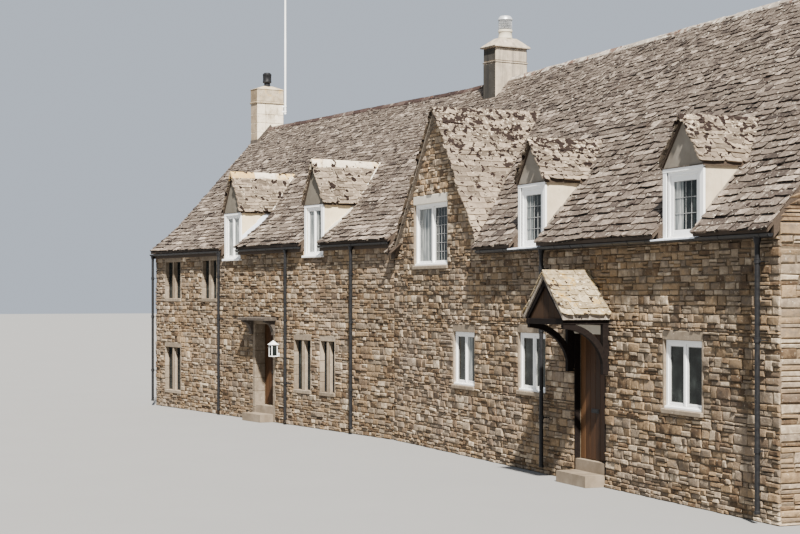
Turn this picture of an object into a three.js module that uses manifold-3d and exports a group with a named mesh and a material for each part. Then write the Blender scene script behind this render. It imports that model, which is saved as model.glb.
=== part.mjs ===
// A range of two stone cottages with stone-slate roofs. Millimetres, +Z up.
// The right range runs along +X. The left range turns towards the road (-Y) at the bend.
// The origin is at the middle of the bounding box, on the ground.
import * as THREE from 'three';
import { mergeVertices } from 'three/addons/utils/BufferGeometryUtils.js';
import Module from 'manifold-3d';

const wasm = await Module();
wasm.setup();

// Plan
const GAP = 0.3; // joint between pieces that touch
const BEND = THREE.MathUtils.degToRad(9.56); // turn between the two ranges
const RIGHT_LENGTH = 13200;
const LEFT_LENGTH = 12180;
const DEPTH = 6280;
const WALL = 500;
const HALF = DEPTH / 2;
const PARTY_LEFT = -920; // the party wall under the middle chimney, in the left range
const PARTY_RIGHT = -420;

// Levels
const FLOOR_TOP = 350;
const UPPER_UNDER = 2420;
const UPPER_TOP = 2620;

// Roofs: outer surface as [y, z] from the eaves to the ridge
const ROOF_DROP = 225; // depth of slates and timbers, measured upright
const SLATE_EDGE = 50; // depth of the slates where they pass over the gutter
const FASCIA_Y = -90;
const VERGE = 30; // how far the slates stand out over the left gable
const ROOF_LEFT = [[-150, 4010], [600, 4620], [HALF, 7380]];
const ROOF_RIGHT = [[-180, 3730], [HALF, 7490]];

// Central gable of the right range
const GABLE = { x: 2180, half: 2080, foot: 3730, apex: 6370, front: -80 };
const GABLE_SLOPE = (GABLE.apex - GABLE.foot) / GABLE.half;

// Dormers: centre and width of the front, levels of sill, window head, cheek top and ridge, then lights
const DORMERS = [
  { side: 'left', x: -7510, width: 900, sill: 3750, head: 4790, cheek: 4890, ridge: 5780, lights: 2 },
  { side: 'left', x: -3410, width: 860, sill: 3750, head: 4800, cheek: 4900, ridge: 5790, lights: 2 },
  { side: 'right', x: 6190, width: 1000, sill: 3660, head: 4680, cheek: 4760, ridge: 5450, lights: 1 },
  { side: 'right', x: 10915, width: 1050, sill: 3660, head: 4610, cheek: 4690, ridge: 5360, lights: 1 },
].map((dormer, i) => ({ ...dormer, name: `dormer_${i + 1}` }));
const CHEEK = 90; // thickness of the dormer sides
const DORMER_DROP = 50; // depth of a dormer's roof, measured upright
const DORMER_EAVES = 35;
const DORMER_VERGE = 30;

// Windows: [x0, x1, sill, head]
const GABLE_WINDOW = [1050, 2670, 3450, 4630];
const WHITE_WINDOWS = {
  ground_window_1: [2960, 3890, 1260, 2230],
  ground_window_2: [5690, 6690, 1300, 2270],
  ground_window_3: [10400, 11400, 1300, 2270],
};
const MULLION_WINDOWS = {
  upper_glass_1: [-11550, -10590, 2800, 3740],
  upper_glass_2: [-9240, -8420, 2800, 3740],
  ground_glass_1: [-11550, -10590, 450, 1550],
  ground_glass_2: [-4310, -3560, 800, 1900],
  ground_glass_3: [-3100, -2480, 800, 1900],
};
const BACK_WINDOWS = {
  back_glass_left_ground: [-8000, -6000, 1000, 2100],
  back_glass_left_upper: [-7700, -6300, 2900, 3680],
  back_glass_right_ground: [5500, 7500, 1000, 2100],
  back_glass_right_upper: [5800, 7200, 2850, 3480],
};
const FRAME_BACK = 30; // how far a white frame stands back from the wall's face
const FRAME_DEPTH = 120;
const FRAME_BAR = 55;
const PANE_BACK = 80;
const PANE = 8;
const MULLION = 110;
const MULLION_DEPTH = 105;

// Doors: [x0, x1, head]
const LEFT_DOOR = { x0: -6300, x1: -5370, head: 2230, back: 250 };
const RIGHT_DOOR = { x0: 7720, x1: 8680, head: 2300, back: 90 };
const LEAF = 50;
const LEAF_CLEAR = 8;
const PIN_RADIUS = 9;
const PIN_INSET = 22;
const PIN_LEVELS = [650, 1950];

// Hood over the left door
const HOOD = { x0: -6580, x1: -5170, top: 2380, thick: 70, out: 330 };

// Porch over the right door
const PORCH = { x: 8220, half: 660, out: 820, tip: 2600, apex: 3230, drop: 75 };
const POST = 90;

// Chimneys: x0, x1, y0, y1, top of the stack and of its cap
const STACK_LEFT = { x0: -12180, x1: -11790, y0: HALF - 385, y1: HALF + 385, top: 8060, cap: 8460 };
const STACK_MIDDLE = { x0: -910, x1: -430, y0: HALF - 405, y1: HALF + 405, top: 8120, cap: 8250 };

// Rainwater goods
const GUTTER = 50;
const PIPE = 34;

const paint = (color, roughness, metalness = 0) => new THREE.MeshStandardMaterial({ color, roughness, metalness });
const rubble = paint(0xb08d5b, 0.95);
const slate = paint(0x8d8170, 0.95);
const render = paint(0xd8cbb0, 0.9);
const white = paint(0xf0f0ec, 0.5);
const glass = paint(0x3a4448, 0.1);
const ashlar = paint(0xcbbd9d, 0.9);
const oak = paint(0x6d4428, 0.7);
const tarred = paint(0x2a211b, 0.8);
const iron = paint(0x1c1c1e, 0.5, 0.3);
const boards = paint(0x8b6a48, 0.8);
const clay = paint(0xd9c9a0, 0.8);

// Solids

function solidOf(geometry) {
  geometry.deleteAttribute('normal');
  geometry.deleteAttribute('uv');
  const merged = mergeVertices(geometry, 1e-3);
  return new wasm.Manifold(new wasm.Mesh({
    numProp: 3,
    vertProperties: new Float32Array(merged.attributes.position.array),
    triVerts: new Uint32Array(merged.index.array),
  }));
}

function geometryOf(solid) {
  const mesh = solid.getMesh();
  const geometry = new THREE.BufferGeometry();
  geometry.setAttribute('position', new THREE.BufferAttribute(new Float32Array(mesh.vertProperties), 3));
  geometry.setIndex(new THREE.BufferAttribute(new Uint32Array(mesh.triVerts), 1));
  geometry.computeVertexNormals();
  return geometry;
}

function extruded(points, depth, matrix) {
  const shape = new THREE.Shape(points.map(([a, b]) => new THREE.Vector2(a, b)));
  const geometry = new THREE.ExtrudeGeometry(shape, { depth, bevelEnabled: false });
  geometry.applyMatrix4(matrix);
  return solidOf(geometry);
}

// points are [y, z]
function prismX(points, x0, x1) {
  const turn = new THREE.Matrix4().set(0, 0, 1, x0, 1, 0, 0, 0, 0, 1, 0, 0, 0, 0, 0, 1);
  return extruded(points, x1 - x0, turn);
}

// points are [x, z]
function prismY(points, y0, y1) {
  const turn = new THREE.Matrix4().set(1, 0, 0, 0, 0, 0, -1, y1, 0, 1, 0, 0, 0, 0, 0, 1);
  return extruded(points, y1 - y0, turn);
}

// points are [x, y]
function prismZ(points, z0, z1) {
  return extruded(points, z1 - z0, new THREE.Matrix4().makeTranslation(0, 0, z0));
}

function box(x0, x1, y0, y1, z0, z1) {
  const geometry = new THREE.BoxGeometry(x1 - x0, y1 - y0, z1 - z0);
  geometry.translate((x0 + x1) / 2, (y0 + y1) / 2, (z0 + z1) / 2);
  return solidOf(geometry);
}

function cylinder(radius, x, y, z0, z1, sides = 12, topRadius = radius) {
  const geometry = new THREE.CylinderGeometry(topRadius, radius, z1 - z0, sides);
  geometry.rotateX(Math.PI / 2);
  geometry.translate(x, y, (z0 + z1) / 2);
  return solidOf(geometry);
}

const joined = (solids) => solids.reduce((whole, piece) => whole.add(piece));
const cut = (solid, tools) => tools.reduce((rest, tool) => rest.subtract(tool), solid);

// Ranges

const building = new THREE.Group();
const leftRange = new THREE.Group();
leftRange.rotation.z = BEND;
const rightRange = new THREE.Group();
building.add(leftRange, rightRange);
const groupOf = { left: leftRange, right: rightRange };

function place(name, solid, material, side) {
  const mesh = new THREE.Mesh(geometryOf(solid), material);
  mesh.name = name;
  groupOf[side].add(mesh);
}

const FAR = 30000;
const MITRE = Math.tan(BEND / 2); // the ranges meet on the plane x = y * MITRE, seen from the left range
const SEAM = GAP / 2;

function mitred(solid, side) {
  const sign = side === 'left' ? 1 : -1;
  const edge = (y) => sign * (y * MITRE - SEAM);
  const beyond = prismZ([[edge(-3000), -3000], [sign * FAR, -3000], [sign * FAR, 9000], [edge(9000), 9000]],
    -1000, 12000);
  return solid.subtract(beyond);
}

// Height of a roof's outer surface above y
function roofHeight(profile, y) {
  const inside = Math.min(y, DEPTH - y);
  let i = 1;
  while (i < profile.length - 1 && inside > profile[i][0]) i += 1;
  const [y0, z0] = profile[i - 1];
  const [y1, z1] = profile[i];
  return z0 + ((inside - y0) / (y1 - y0)) * (z1 - z0);
}

// y at which the front slope reaches the height z
function roofReach(profile, z) {
  let i = 1;
  while (i < profile.length - 1 && z > profile[i][1]) i += 1;
  const [y0, z0] = profile[i - 1];
  const [y1, z1] = profile[i];
  return y0 + ((z - z0) / (z1 - z0)) * (y1 - y0);
}

const profileOf = { left: ROOF_LEFT, right: ROOF_RIGHT };

// Everything from a given distance above the roof's outer surface down to the ground
function underRoof(profile, rise, x0, x1) {
  const front = profile.map(([y, z]) => [y, z + rise]);
  const back = profile.slice(0, -1).reverse().map(([y, z]) => [DEPTH - y, z + rise]);
  const [eavesY, eavesZ] = front[0];
  const slope = (front[1][1] - eavesZ) / (front[1][0] - eavesY);
  const out = 1500;
  const low = eavesZ - out * slope;
  return prismX([[eavesY - out, -500], [eavesY - out, low], ...front, ...back,
    [DEPTH - eavesY + out, low], [DEPTH - eavesY + out, -500]], x0, x1);
}

// Walls keep under the roof timbers
const wallTop = (profile) => underRoof(profile, -ROOF_DROP - GAP, -FAR, FAR);

// Cut for a window with a stone mullion: the lights at the outer face, one wide reveal behind them
function mullionCut([x0, x1, sill, head], outerY, lights = 2) {
  const into = outerY === 0 ? 1 : -1;
  const span = (from, to) => [Math.min(outerY + into * from, outerY + into * to),
    Math.max(outerY + into * from, outerY + into * to)];
  const light = (x1 - x0 - (lights - 1) * MULLION) / lights;
  const tools = [box(x0, x1, ...span(MULLION_DEPTH, WALL + 50), sill, head)];
  for (let i = 0; i < lights; i += 1) {
    const start = x0 + i * (light + MULLION);
    tools.push(box(start, start + light, ...span(-50, MULLION_DEPTH + 1), sill, head));
  }
  return tools;
}

function mullionGlass([x0, x1, sill, head], outerY) {
  const near = MULLION_DEPTH + GAP;
  const y0 = outerY === 0 ? near : outerY - near - PANE;
  return box(x0 + GAP, x1 - GAP, y0, y0 + PANE, sill + GAP, head - GAP);
}

const windowCut = ([x0, x1, sill, head]) => box(x0, x1, -50, WALL + 50, sill, head);

// A white frame with one or two lights; the panes are in one piece with it
function casement(x0, x1, y0, y1, z0, z1, paneY, lightCount = 2) {
  const light = (x1 - x0 - (lightCount + 1) * FRAME_BAR) / lightCount;
  const lights = Array.from({ length: lightCount }, (_, i) => {
    const start = x0 + FRAME_BAR + i * (light + FRAME_BAR);
    return [start, start + light];
  });
  const recesses = lights.flatMap(([a, b]) => [
    box(a, b, y0 - 10, paneY, z0 + FRAME_BAR, z1 - FRAME_BAR),
    box(a, b, paneY + PANE, y1 + 10, z0 + FRAME_BAR, z1 - FRAME_BAR),
  ]);
  return cut(box(x0, x1, y0, y1, z0, z1), recesses);
}

function whiteWindow(name, [x0, x1, sill, head]) {
  const y0 = FRAME_BACK;
  const solid = casement(x0 + GAP, x1 - GAP, y0, y0 + FRAME_DEPTH, sill + GAP, head - GAP, y0 + PANE_BACK);
  place(name, solid, white, 'right');
}

// Floors

const innerLeft = -LEFT_LENGTH + WALL + GAP;
const turned = ([x, y]) => [x * Math.cos(BEND) - y * Math.sin(BEND), x * Math.sin(BEND) + y * Math.cos(BEND)];

// Floor of the right house, which begins in the left range at the party wall
function rightPlan(inset) {
  const front = WALL + inset;
  const back = DEPTH - WALL - inset;
  const start = PARTY_RIGHT + inset;
  return [
    turned([start, front]), [-front * MITRE, front], [RIGHT_LENGTH - WALL - inset, front],
    [RIGHT_LENGTH - WALL - inset, back], [-back * MITRE, back], turned([start, back]),
  ];
}

function leftPlan(inset) {
  const right = PARTY_LEFT - inset;
  return [[innerLeft, WALL + inset], [right, WALL + inset], [right, DEPTH - WALL - inset],
    [innerLeft, DEPTH - WALL - inset]];
}

// Threshold and doorstep, in one piece with the ground floor
function doorstep(door) {
  return joined([
    box(door.x0 + GAP, door.x1 - GAP, -1, WALL + 5, 0, FLOOR_TOP),
    box(door.x0 + GAP, door.x1 - GAP, -340, 0, 0, FLOOR_TOP / 2),
  ]);
}

function floors() {
  place('ground_floor_left', prismZ(leftPlan(GAP), 0, FLOOR_TOP).add(doorstep(LEFT_DOOR)), ashlar, 'left');
  place('ground_floor_right', prismZ(rightPlan(GAP), 0, FLOOR_TOP).add(doorstep(RIGHT_DOOR)), ashlar, 'right');
  place('upper_floor_left', prismZ(leftPlan(GAP), UPPER_UNDER, UPPER_TOP), boards, 'left');
  place('upper_floor_right', prismZ(rightPlan(GAP), UPPER_UNDER, UPPER_TOP), boards, 'right');
}

// Walls

// Iron pins let into the jamb, on which a door turns
function pinAt(door) {
  return { x: door.x0 + LEAF_CLEAR + PIN_INSET, y: door.back + LEAF };
}

function jambPins(door) {
  const pin = pinAt(door);
  return PIN_LEVELS.flatMap((z) => [
    box(door.x0 - 30, pin.x, pin.y - PIN_RADIUS, pin.y + PIN_RADIUS, z - 30, z - 8),
    cylinder(PIN_RADIUS, pin.x, pin.y, z - 30, z),
  ]);
}

// The wall stops at the sill under a dormer
function sillCut(dormer) {
  const half = dormer.width / 2 + GAP;
  return box(dormer.x - half, dormer.x + half, -50, WALL + 50, dormer.sill - GAP, 9000);
}

function frontWallsLeft() {
  const top = wallTop(ROOF_LEFT);
  const end = cut(box(-LEFT_LENGTH + WALL + GAP, LEFT_DOOR.x0, 0, WALL, 0, 5000).intersect(top), [
    ...mullionCut(MULLION_WINDOWS.upper_glass_1, 0), ...mullionCut(MULLION_WINDOWS.upper_glass_2, 0),
    ...mullionCut(MULLION_WINDOWS.ground_glass_1, 0), sillCut(DORMERS[0]),
  ]);
  place('front_wall_left_end', joined([end, ...jambPins(LEFT_DOOR)]), rubble, 'left');
  const over = box(LEFT_DOOR.x0 + GAP, LEFT_DOOR.x1 - GAP, 0, WALL, LEFT_DOOR.head, 5000);
  place('front_wall_left_over_door', over.intersect(top), rubble, 'left');
  const middle = cut(box(LEFT_DOOR.x1, 500, 0, WALL, 0, 5000).intersect(top), [
    ...mullionCut(MULLION_WINDOWS.ground_glass_2, 0), ...mullionCut(MULLION_WINDOWS.ground_glass_3, 0),
    sillCut(DORMERS[1]),
  ]);
  place('front_wall_left_middle', mitred(middle, 'left'), rubble, 'left');
}

function frontWallsRight() {
  const top = wallTop(ROOF_RIGHT);
  const gableHalf = (z) => (GABLE.apex - ROOF_DROP - GAP - z) / GABLE_SLOPE;
  const gable = prismY([[GABLE.x - gableHalf(3000), 3000], [GABLE.x + gableHalf(3000), 3000],
    [GABLE.x, GABLE.apex - ROOF_DROP - GAP]], 0, WALL);
  const left = cut(box(-500, RIGHT_DOOR.x0, 0, WALL, 0, 5000).intersect(top).add(gable), [
    windowCut(GABLE_WINDOW), windowCut(WHITE_WINDOWS.ground_window_1), windowCut(WHITE_WINDOWS.ground_window_2),
    sillCut(DORMERS[2]),
  ]);
  place('front_wall_gable', joined([mitred(left, 'right'), ...jambPins(RIGHT_DOOR)]), rubble, 'right');
  const over = box(RIGHT_DOOR.x0 + GAP, RIGHT_DOOR.x1 - GAP, 0, WALL, RIGHT_DOOR.head, 5000);
  place('front_wall_right_over_door', over.intersect(top), rubble, 'right');
  const end = box(RIGHT_DOOR.x1, RIGHT_LENGTH - WALL - GAP, 0, WALL, 0, 5000).intersect(top);
  place('front_wall_right_end', cut(end, [windowCut(WHITE_WINDOWS.ground_window_3), sillCut(DORMERS[3])]), rubble, 'right');
}

function backWalls() {
  const y0 = DEPTH - WALL;
  const left = box(-LEFT_LENGTH + WALL + GAP, 1500, y0, DEPTH, 0, 5000).intersect(wallTop(ROOF_LEFT));
  const right = box(-1500, RIGHT_LENGTH - WALL - GAP, y0, DEPTH, 0, 5000).intersect(wallTop(ROOF_RIGHT));
  const cuts = (side) => [
    ...mullionCut(BACK_WINDOWS[`back_glass_${side}_ground`], DEPTH, 4),
    ...mullionCut(BACK_WINDOWS[`back_glass_${side}_upper`], DEPTH, 3),
  ];
  place('back_wall_left', mitred(cut(left, cuts('left')), 'left'), rubble, 'left');
  place('back_wall_right', mitred(cut(right, cuts('right')), 'right'), rubble, 'right');
}

// A wall across a range, up to the roof timbers, with a seat for a stack if it carries one
function crossWall(x0, x1, profile, y0, y1) {
  return box(x0, x1, y0, y1, 0, 9000).intersect(underRoof(profile, -ROOF_DROP - GAP, x0 - 10, x1 + 10));
}

function seatCut(stack) {
  return box(stack.x0 - GAP, stack.x1 + GAP, stack.y0 - GAP, stack.y1 + GAP, stackFoot, 9000);
}

const stackFoot = 6200;

function crossWalls() {
  const gable = crossWall(-LEFT_LENGTH, -LEFT_LENGTH + WALL, ROOF_LEFT, 0, DEPTH);
  place('left_gable_wall', cut(gable, [seatCut(STACK_LEFT)]), rubble, 'left');
  const middle = crossWall(PARTY_LEFT, PARTY_RIGHT, ROOF_LEFT, WALL + GAP, DEPTH - WALL - GAP);
  place('middle_party_wall', cut(middle, [seatCut(STACK_MIDDLE)]), rubble, 'left');
  place('right_party_wall', crossWall(RIGHT_LENGTH - WALL, RIGHT_LENGTH, ROOF_RIGHT, 0, DEPTH), rubble, 'right');
}

// Roofs

// One slope as a slab; the slates run on over the gutter in front of the fascia
function slope(profile, x0, x1) {
  const outer = profile;
  const [eavesY, eavesZ] = outer[0];
  const under = [...outer].slice(1).reverse().map(([y, z]) => [y - (y === HALF ? SEAM : 0), z - ROOF_DROP]);
  const top = outer.map(([y, z]) => [y - (y === HALF ? SEAM : 0), z]);
  const fascia = roofHeight(profile, FASCIA_Y);
  return prismX([...top, ...under, [FASCIA_Y, fascia - ROOF_DROP], [FASCIA_Y, fascia - SLATE_EDGE],
    [eavesY, eavesZ - SLATE_EDGE]], x0, x1);
}

// Slates alone, where they stand out over a gable
function slateSheet(profile, x0, x1) {
  const top = profile.map(([y, z]) => [y - (y === HALF ? SEAM : 0), z]);
  const under = [...top].reverse().map(([y, z]) => [y, z - SLATE_EDGE]);
  return prismX([...top, ...under], x0, x1);
}

const mirrorY = (solid) => solid.mirror([0, 1, 0]).translate([0, DEPTH, 0]);

function dormerHole(dormer) {
  const profile = profileOf[dormer.side];
  const x0 = dormer.x - dormer.width / 2 - GAP;
  const x1 = dormer.x + dormer.width / 2 + GAP;
  return box(x0, x1, -400, roofReach(profile, dormer.cheek) + GAP, 2800, 9000);
}

// The space under the central gable's roof
function gableSpace() {
  const z = GABLE.apex - ROOF_DROP;
  const half = (z - 2000) / GABLE_SLOPE;
  return prismY([[GABLE.x - half, 2000], [GABLE.x + half, 2000], [GABLE.x, z]], -600, 4000);
}

const stackHole = (stack) => box(stack.x0 - GAP, stack.x1 + GAP, stack.y0 - GAP, stack.y1 + GAP, 5000, 9000);

// Stacks stand in the left range; the right roof and the left roof meet on the mitre
function roofs() {
  const stacks = [stackHole(STACK_LEFT), stackHole(STACK_MIDDLE)];
  const leftSlope = slope(ROOF_LEFT, -LEFT_LENGTH, 1500)
    .add(slateSheet(ROOF_LEFT, -LEFT_LENGTH - VERGE, -LEFT_LENGTH + 1));
  const rightSlope = slope(ROOF_RIGHT, -1500, RIGHT_LENGTH);
  const holes = (side) => DORMERS.filter((dormer) => dormer.side === side).map(dormerHole);
  place('roof_front_left', mitred(cut(leftSlope, [...holes('left'), ...stacks]), 'left'), slate, 'left');
  place('roof_back_left', mitred(cut(mirrorY(leftSlope), stacks), 'left'), slate, 'left');
  const gableCut = gableSpace().subtract(box(-FAR, FAR, roofReach(ROOF_RIGHT, GABLE.apex), 5000, 0, 9000));
  place('roof_front_right', mitred(cut(rightSlope, [...holes('right'), gableCut]), 'right'), slate, 'right');
  place('roof_back_right', mitred(mirrorY(rightSlope), 'right'), slate, 'right');
}

// A roof of two slopes with its ridge along Y, laid on a main slope
function smallRoof(x, half, foot, apex, drop, y0, profile) {
  const points = [[x - half, foot], [x, apex], [x + half, foot], [x + half, foot - drop], [x, apex - drop],
    [x - half, foot - drop]];
  const whole = prismY(points, y0, roofReach(profile, apex) + 200);
  return whole.subtract(underRoof(profile, GAP, -FAR, FAR));
}

function gableRoof() {
  const { x, half, foot, apex, front } = GABLE;
  const timbers = smallRoof(x, half, foot, apex, ROOF_DROP, 0, ROOF_RIGHT);
  const slates = smallRoof(x, half, foot, apex, SLATE_EDGE, front, ROOF_RIGHT);
  place('gable_roof', mitred(timbers.add(slates), 'right'), slate, 'right');
}

// Dormers

function dormerWalls(dormer) {
  const { x, width, sill, head, cheek, ridge, side } = dormer;
  const profile = profileOf[side];
  const half = width / 2;
  const under = (y) => roofHeight(profile, y) - ROOF_DROP;
  const back = roofReach(profile, cheek);
  const step = WALL - 100;
  const outline = [[0, sill], [step, sill], [step, under(step)], [back, under(back)], [back, cheek], [0, cheek]];
  const cheeks = [prismX(outline, x - half, x - half + CHEEK), prismX(outline, x + half - CHEEK, x + half)];
  const pitch = (ridge - DORMER_DROP - cheek) / half;
  const front = prismY([[x - half, head], [x + half, head], [x + half, cheek], [x, ridge - DORMER_DROP],
    [x - half, cheek]], 0, CHEEK);
  const above = prismY([[x - half - 500, cheek - 500 * pitch - GAP], [x, ridge - DORMER_DROP - GAP],
    [x + half + 500, cheek - 500 * pitch - GAP], [x + half + 500, 9000], [x - half - 500, 9000]], -500, 5000);
  place(`${dormer.name}_walls`, joined([...cheeks, front]).subtract(above), render, side);
}

function dormerRoof(dormer) {
  const { x, width, cheek, ridge, side } = dormer;
  const half = width / 2 + DORMER_EAVES;
  const pitch = (ridge - DORMER_DROP - cheek) / (width / 2);
  const solid = smallRoof(x, half, ridge - half * pitch, ridge, DORMER_DROP, -DORMER_VERGE, profileOf[side]);
  place(`${dormer.name}_roof`, solid, slate, side);
}

function dormerWindow(dormer) {
  const { x, width, sill, head, side, lights } = dormer;
  const half = width / 2 - CHEEK - GAP;
  const solid = casement(x - half, x + half, 10, 130, sill + GAP, head - GAP, 100, lights);
  place(`${dormer.name}_window`, solid, white, side);
}

function dormers() {
  DORMERS.forEach((dormer) => {
    dormerWalls(dormer);
    dormerRoof(dormer);
    dormerWindow(dormer);
  });
}

// Windows

function windows() {
  whiteWindow('gable_window', GABLE_WINDOW);
  Object.entries(WHITE_WINDOWS).forEach(([name, opening]) => whiteWindow(name, opening));
  Object.entries(MULLION_WINDOWS).forEach(([name, opening]) => {
    place(name, mullionGlass(opening, 0), glass, 'left');
  });
  Object.entries(BACK_WINDOWS).forEach(([name, opening]) => {
    place(name, mullionGlass(opening, DEPTH), glass, name.includes('left') ? 'left' : 'right');
  });
}

// Chimneys

function stackSolid(stack, capOut, capSlope) {
  const { x0, x1, y0, y1, top, cap } = stack;
  const x = (x0 + x1) / 2;
  const y = (y0 + y1) / 2;
  const halfX = (x1 - x0) / 2 + capOut;
  const halfY = (y1 - y0) / 2 + capOut;
  const slopeTop = new THREE.CylinderGeometry(Math.SQRT2 / 2 * 0.4, Math.SQRT2 / 2, capSlope, 4);
  slopeTop.rotateY(Math.PI / 4);
  slopeTop.rotateX(Math.PI / 2);
  slopeTop.scale(2 * halfX, 2 * halfY, 1);
  slopeTop.translate(x, y, cap + capSlope / 2 - 1);
  return joined([
    box(x0, x1, y0, y1, stackFoot + GAP, top + 5),
    box(x - halfX, x + halfX, y - halfY, y + halfY, top, cap),
    solidOf(slopeTop),
  ]);
}

const FLAUNCH_LEFT = 90;
const FLAUNCH_MIDDLE = 90;

function chimneys() {
  place('chimney_left', stackSolid(STACK_LEFT, 25, FLAUNCH_LEFT), ashlar, 'left');
  place('chimney_middle', stackSolid(STACK_MIDDLE, 45, FLAUNCH_MIDDLE), ashlar, 'left');
  const leftX = (STACK_LEFT.x0 + STACK_LEFT.x1) / 2;
  const middleX = (STACK_MIDDLE.x0 + STACK_MIDDLE.x1) / 2;
  const leftFoot = STACK_LEFT.cap + FLAUNCH_LEFT - 1 + GAP;
  const middleFoot = STACK_MIDDLE.cap + FLAUNCH_MIDDLE - 1 + GAP;
  const leftPot = [cylinder(85, leftX, HALF, leftFoot, 8650, 16), cylinder(120, leftX, HALF, 8640, 8880, 16),
    cylinder(120, leftX, HALF, 8879, 8920, 16, 80)];
  place('chimney_pot_left', joined(leftPot), iron, 'left');
  const middlePot = [cylinder(150, middleX, HALF, middleFoot, 8530, 16, 135),
    cylinder(145, middleX, HALF, 8529, 8740, 16), cylinder(158, middleX, HALF, 8739, 8830, 16, 110)];
  place('chimney_pot_middle', joined(middlePot), clay, 'left');
}

// Doors

function doorLeaf(name, door, side) {
  const pin = pinAt(door);
  const leaf = box(door.x0 + LEAF_CLEAR, door.x1 - LEAF_CLEAR, door.back, door.back + LEAF,
    FLOOR_TOP + LEAF_CLEAR, door.head - LEAF_CLEAR);
  const sockets = PIN_LEVELS.map((z) => box(door.x0, pin.x + 40, door.back - 10, door.back + LEAF + 20, z - 36,
    z + GAP));
  place(name, cut(leaf, sockets), oak, side);
}

function hood() {
  const { x0, x1, top, thick, out } = HOOD;
  const slab = box(x0, x1, -out, -GAP, top - thick, top);
  const curve = [[-GAP, top - thick + 1], [-GAP, top - thick - 330]];
  for (let i = 0; i <= 6; i += 1) {
    const angle = (i / 6) * Math.PI / 2;
    const reach = out - 60;
    curve.push([-60 - (reach - 60) * (1 - Math.cos(angle)), top - thick - 330 + 290 * Math.sin(angle)]);
  }
  curve.push([-out + 60, top - thick + 1]);
  const bracket = (x) => prismX(curve, x, x + 130);
  place('left_door_hood', joined([slab, bracket(x0 + 70), bracket(x1 - 200)]), ashlar, 'left');
}

function porch() {
  const { x, half, out, tip, apex, drop } = PORCH;
  const roof = prismY([[x - half, tip], [x, apex], [x + half, tip], [x + half, tip - drop], [x, apex - drop],
    [x - half, tip - drop]], -out, -GAP);
  place('porch_roof', roof, slate, 'right');
  const inner = half - 45;
  const beamTop = tip - 60;
  const pitch = (apex - tip) / half;
  const seat = (z) => (apex - drop - GAP - z) / pitch;
  const gableBoards = prismY([[x - seat(beamTop), beamTop], [x + seat(beamTop), beamTop],
    [x, apex - drop - GAP]], -out + 40, -out + 90);
  const tie = box(x - inner, x + inner, -out + 30, -out + 30 + POST, beamTop - 90, beamTop);
  const arc = [];
  const foot = 1760;
  const rise = beamTop - 60 - foot;
  const run = out - 60;
  for (let i = 0; i <= 8; i += 1) {
    const angle = (i / 8) * Math.PI / 2;
    arc.push([-20 - run * (1 - Math.cos(angle)), foot + rise * Math.sin(angle)]);
  }
  for (let i = 8; i >= 0; i -= 1) {
    const angle = (i / 8) * Math.PI / 2;
    arc.push([-20 - POST - (run - POST) * (1 - Math.cos(angle)), foot + (rise - POST) * Math.sin(angle)]);
  }
  const sides = [x - inner, x + inner - POST].flatMap((left) => [
    box(left, left + POST, -out + 30, -GAP, beamTop - 90, beamTop),
    box(left, left + POST, -POST - 30, -GAP, 1700, beamTop),
    prismX(arc, left + 5, left + POST - 5),
  ]);
  place('porch_frame', joined([gableBoards, tie, ...sides]), tarred, 'right');
}

// Fittings

function lantern() {
  const x = -5105;
  const body = [box(x - 75, x + 75, -215, -65, 1500, 1760), box(x - 50, x + 50, -190, -90, 1759, 1800),
    cylinder(100, x, -140, 1799, 1870, 8, 15), box(x - 15, x + 15, -150, -GAP, 1560, 1590),
    box(x - 45, x + 45, -20, -GAP, 1500, 1650)];
  place('wall_lantern', joined(body), white, 'left');
}

function aerialMast() {
  const x = STACK_LEFT.x1 + 45;
  const y = STACK_LEFT.y1 + 45;
  const bracket = (z) => box(STACK_LEFT.x1 + GAP, x + 15, STACK_LEFT.y1 - 40, y + 15, z, z + 40);
  const mast = cylinder(26, x, y, 7800, 11300, 8);
  place('aerial_mast', joined([mast, bracket(7850), bracket(7990)]), white, 'left');
}

// A half-round gutter with end stops, and its downpipes with wall brackets
function rainwater(name, side, x0, x1, pipes) {
  const [, eavesZ] = profileOf[side][0];
  const top = eavesZ - SLATE_EDGE - 12;
  const y = FASCIA_Y - GAP - GUTTER;
  const ring = (radius) => Array.from({ length: 9 }, (_, i) => {
    const angle = Math.PI + (i / 8) * Math.PI;
    return [y + radius * Math.cos(angle), top + radius * Math.sin(angle)];
  });
  const channel = cut(prismX(ring(GUTTER), x0, x1), [
    prismX([...ring(GUTTER - 8), [y + GUTTER - 8, top + 20], [y - GUTTER + 8, top + 20]], x0 + 8, x1 - 8),
  ]);
  const pipeY = FASCIA_Y - PIPE - 8;
  const goods = pipes.flatMap((x) => [
    cylinder(PIPE, x, pipeY, 120, top - GUTTER + 12, 10),
    ...[900, 2300, 3300].map((z) => box(x - PIPE - 12, x + PIPE + 12, pipeY, -GAP, z, z + 40)),
  ]);
  place(name, joined([channel, ...goods]), iron, side);
}

function rainwaterGoods() {
  const edge = (dormer, sign) => dormer.x + sign * (dormer.width / 2 + 30);
  const [first, second] = DORMERS;
  rainwater('gutter_left_1', 'left', -LEFT_LENGTH - 20, edge(first, -1), [-LEFT_LENGTH + 60, -8040]);
  rainwater('gutter_left_2', 'left', edge(first, 1), edge(second, -1), [-4530]);
  rainwater('gutter_left_3', 'left', edge(second, 1), -60, [-1560]);
  rainwater('gutter_right', 'right', GABLE.x + GABLE.half + 30, RIGHT_LENGTH, [6790, 12900]);
}

floors();
frontWallsLeft();
frontWallsRight();
backWalls();
crossWalls();
roofs();
gableRoof();
dormers();
windows();
chimneys();
doorLeaf('left_door', LEFT_DOOR, 'left');
doorLeaf('right_door', RIGHT_DOOR, 'right');
hood();
porch();
lantern();
aerialMast();
rainwaterGoods();

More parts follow.
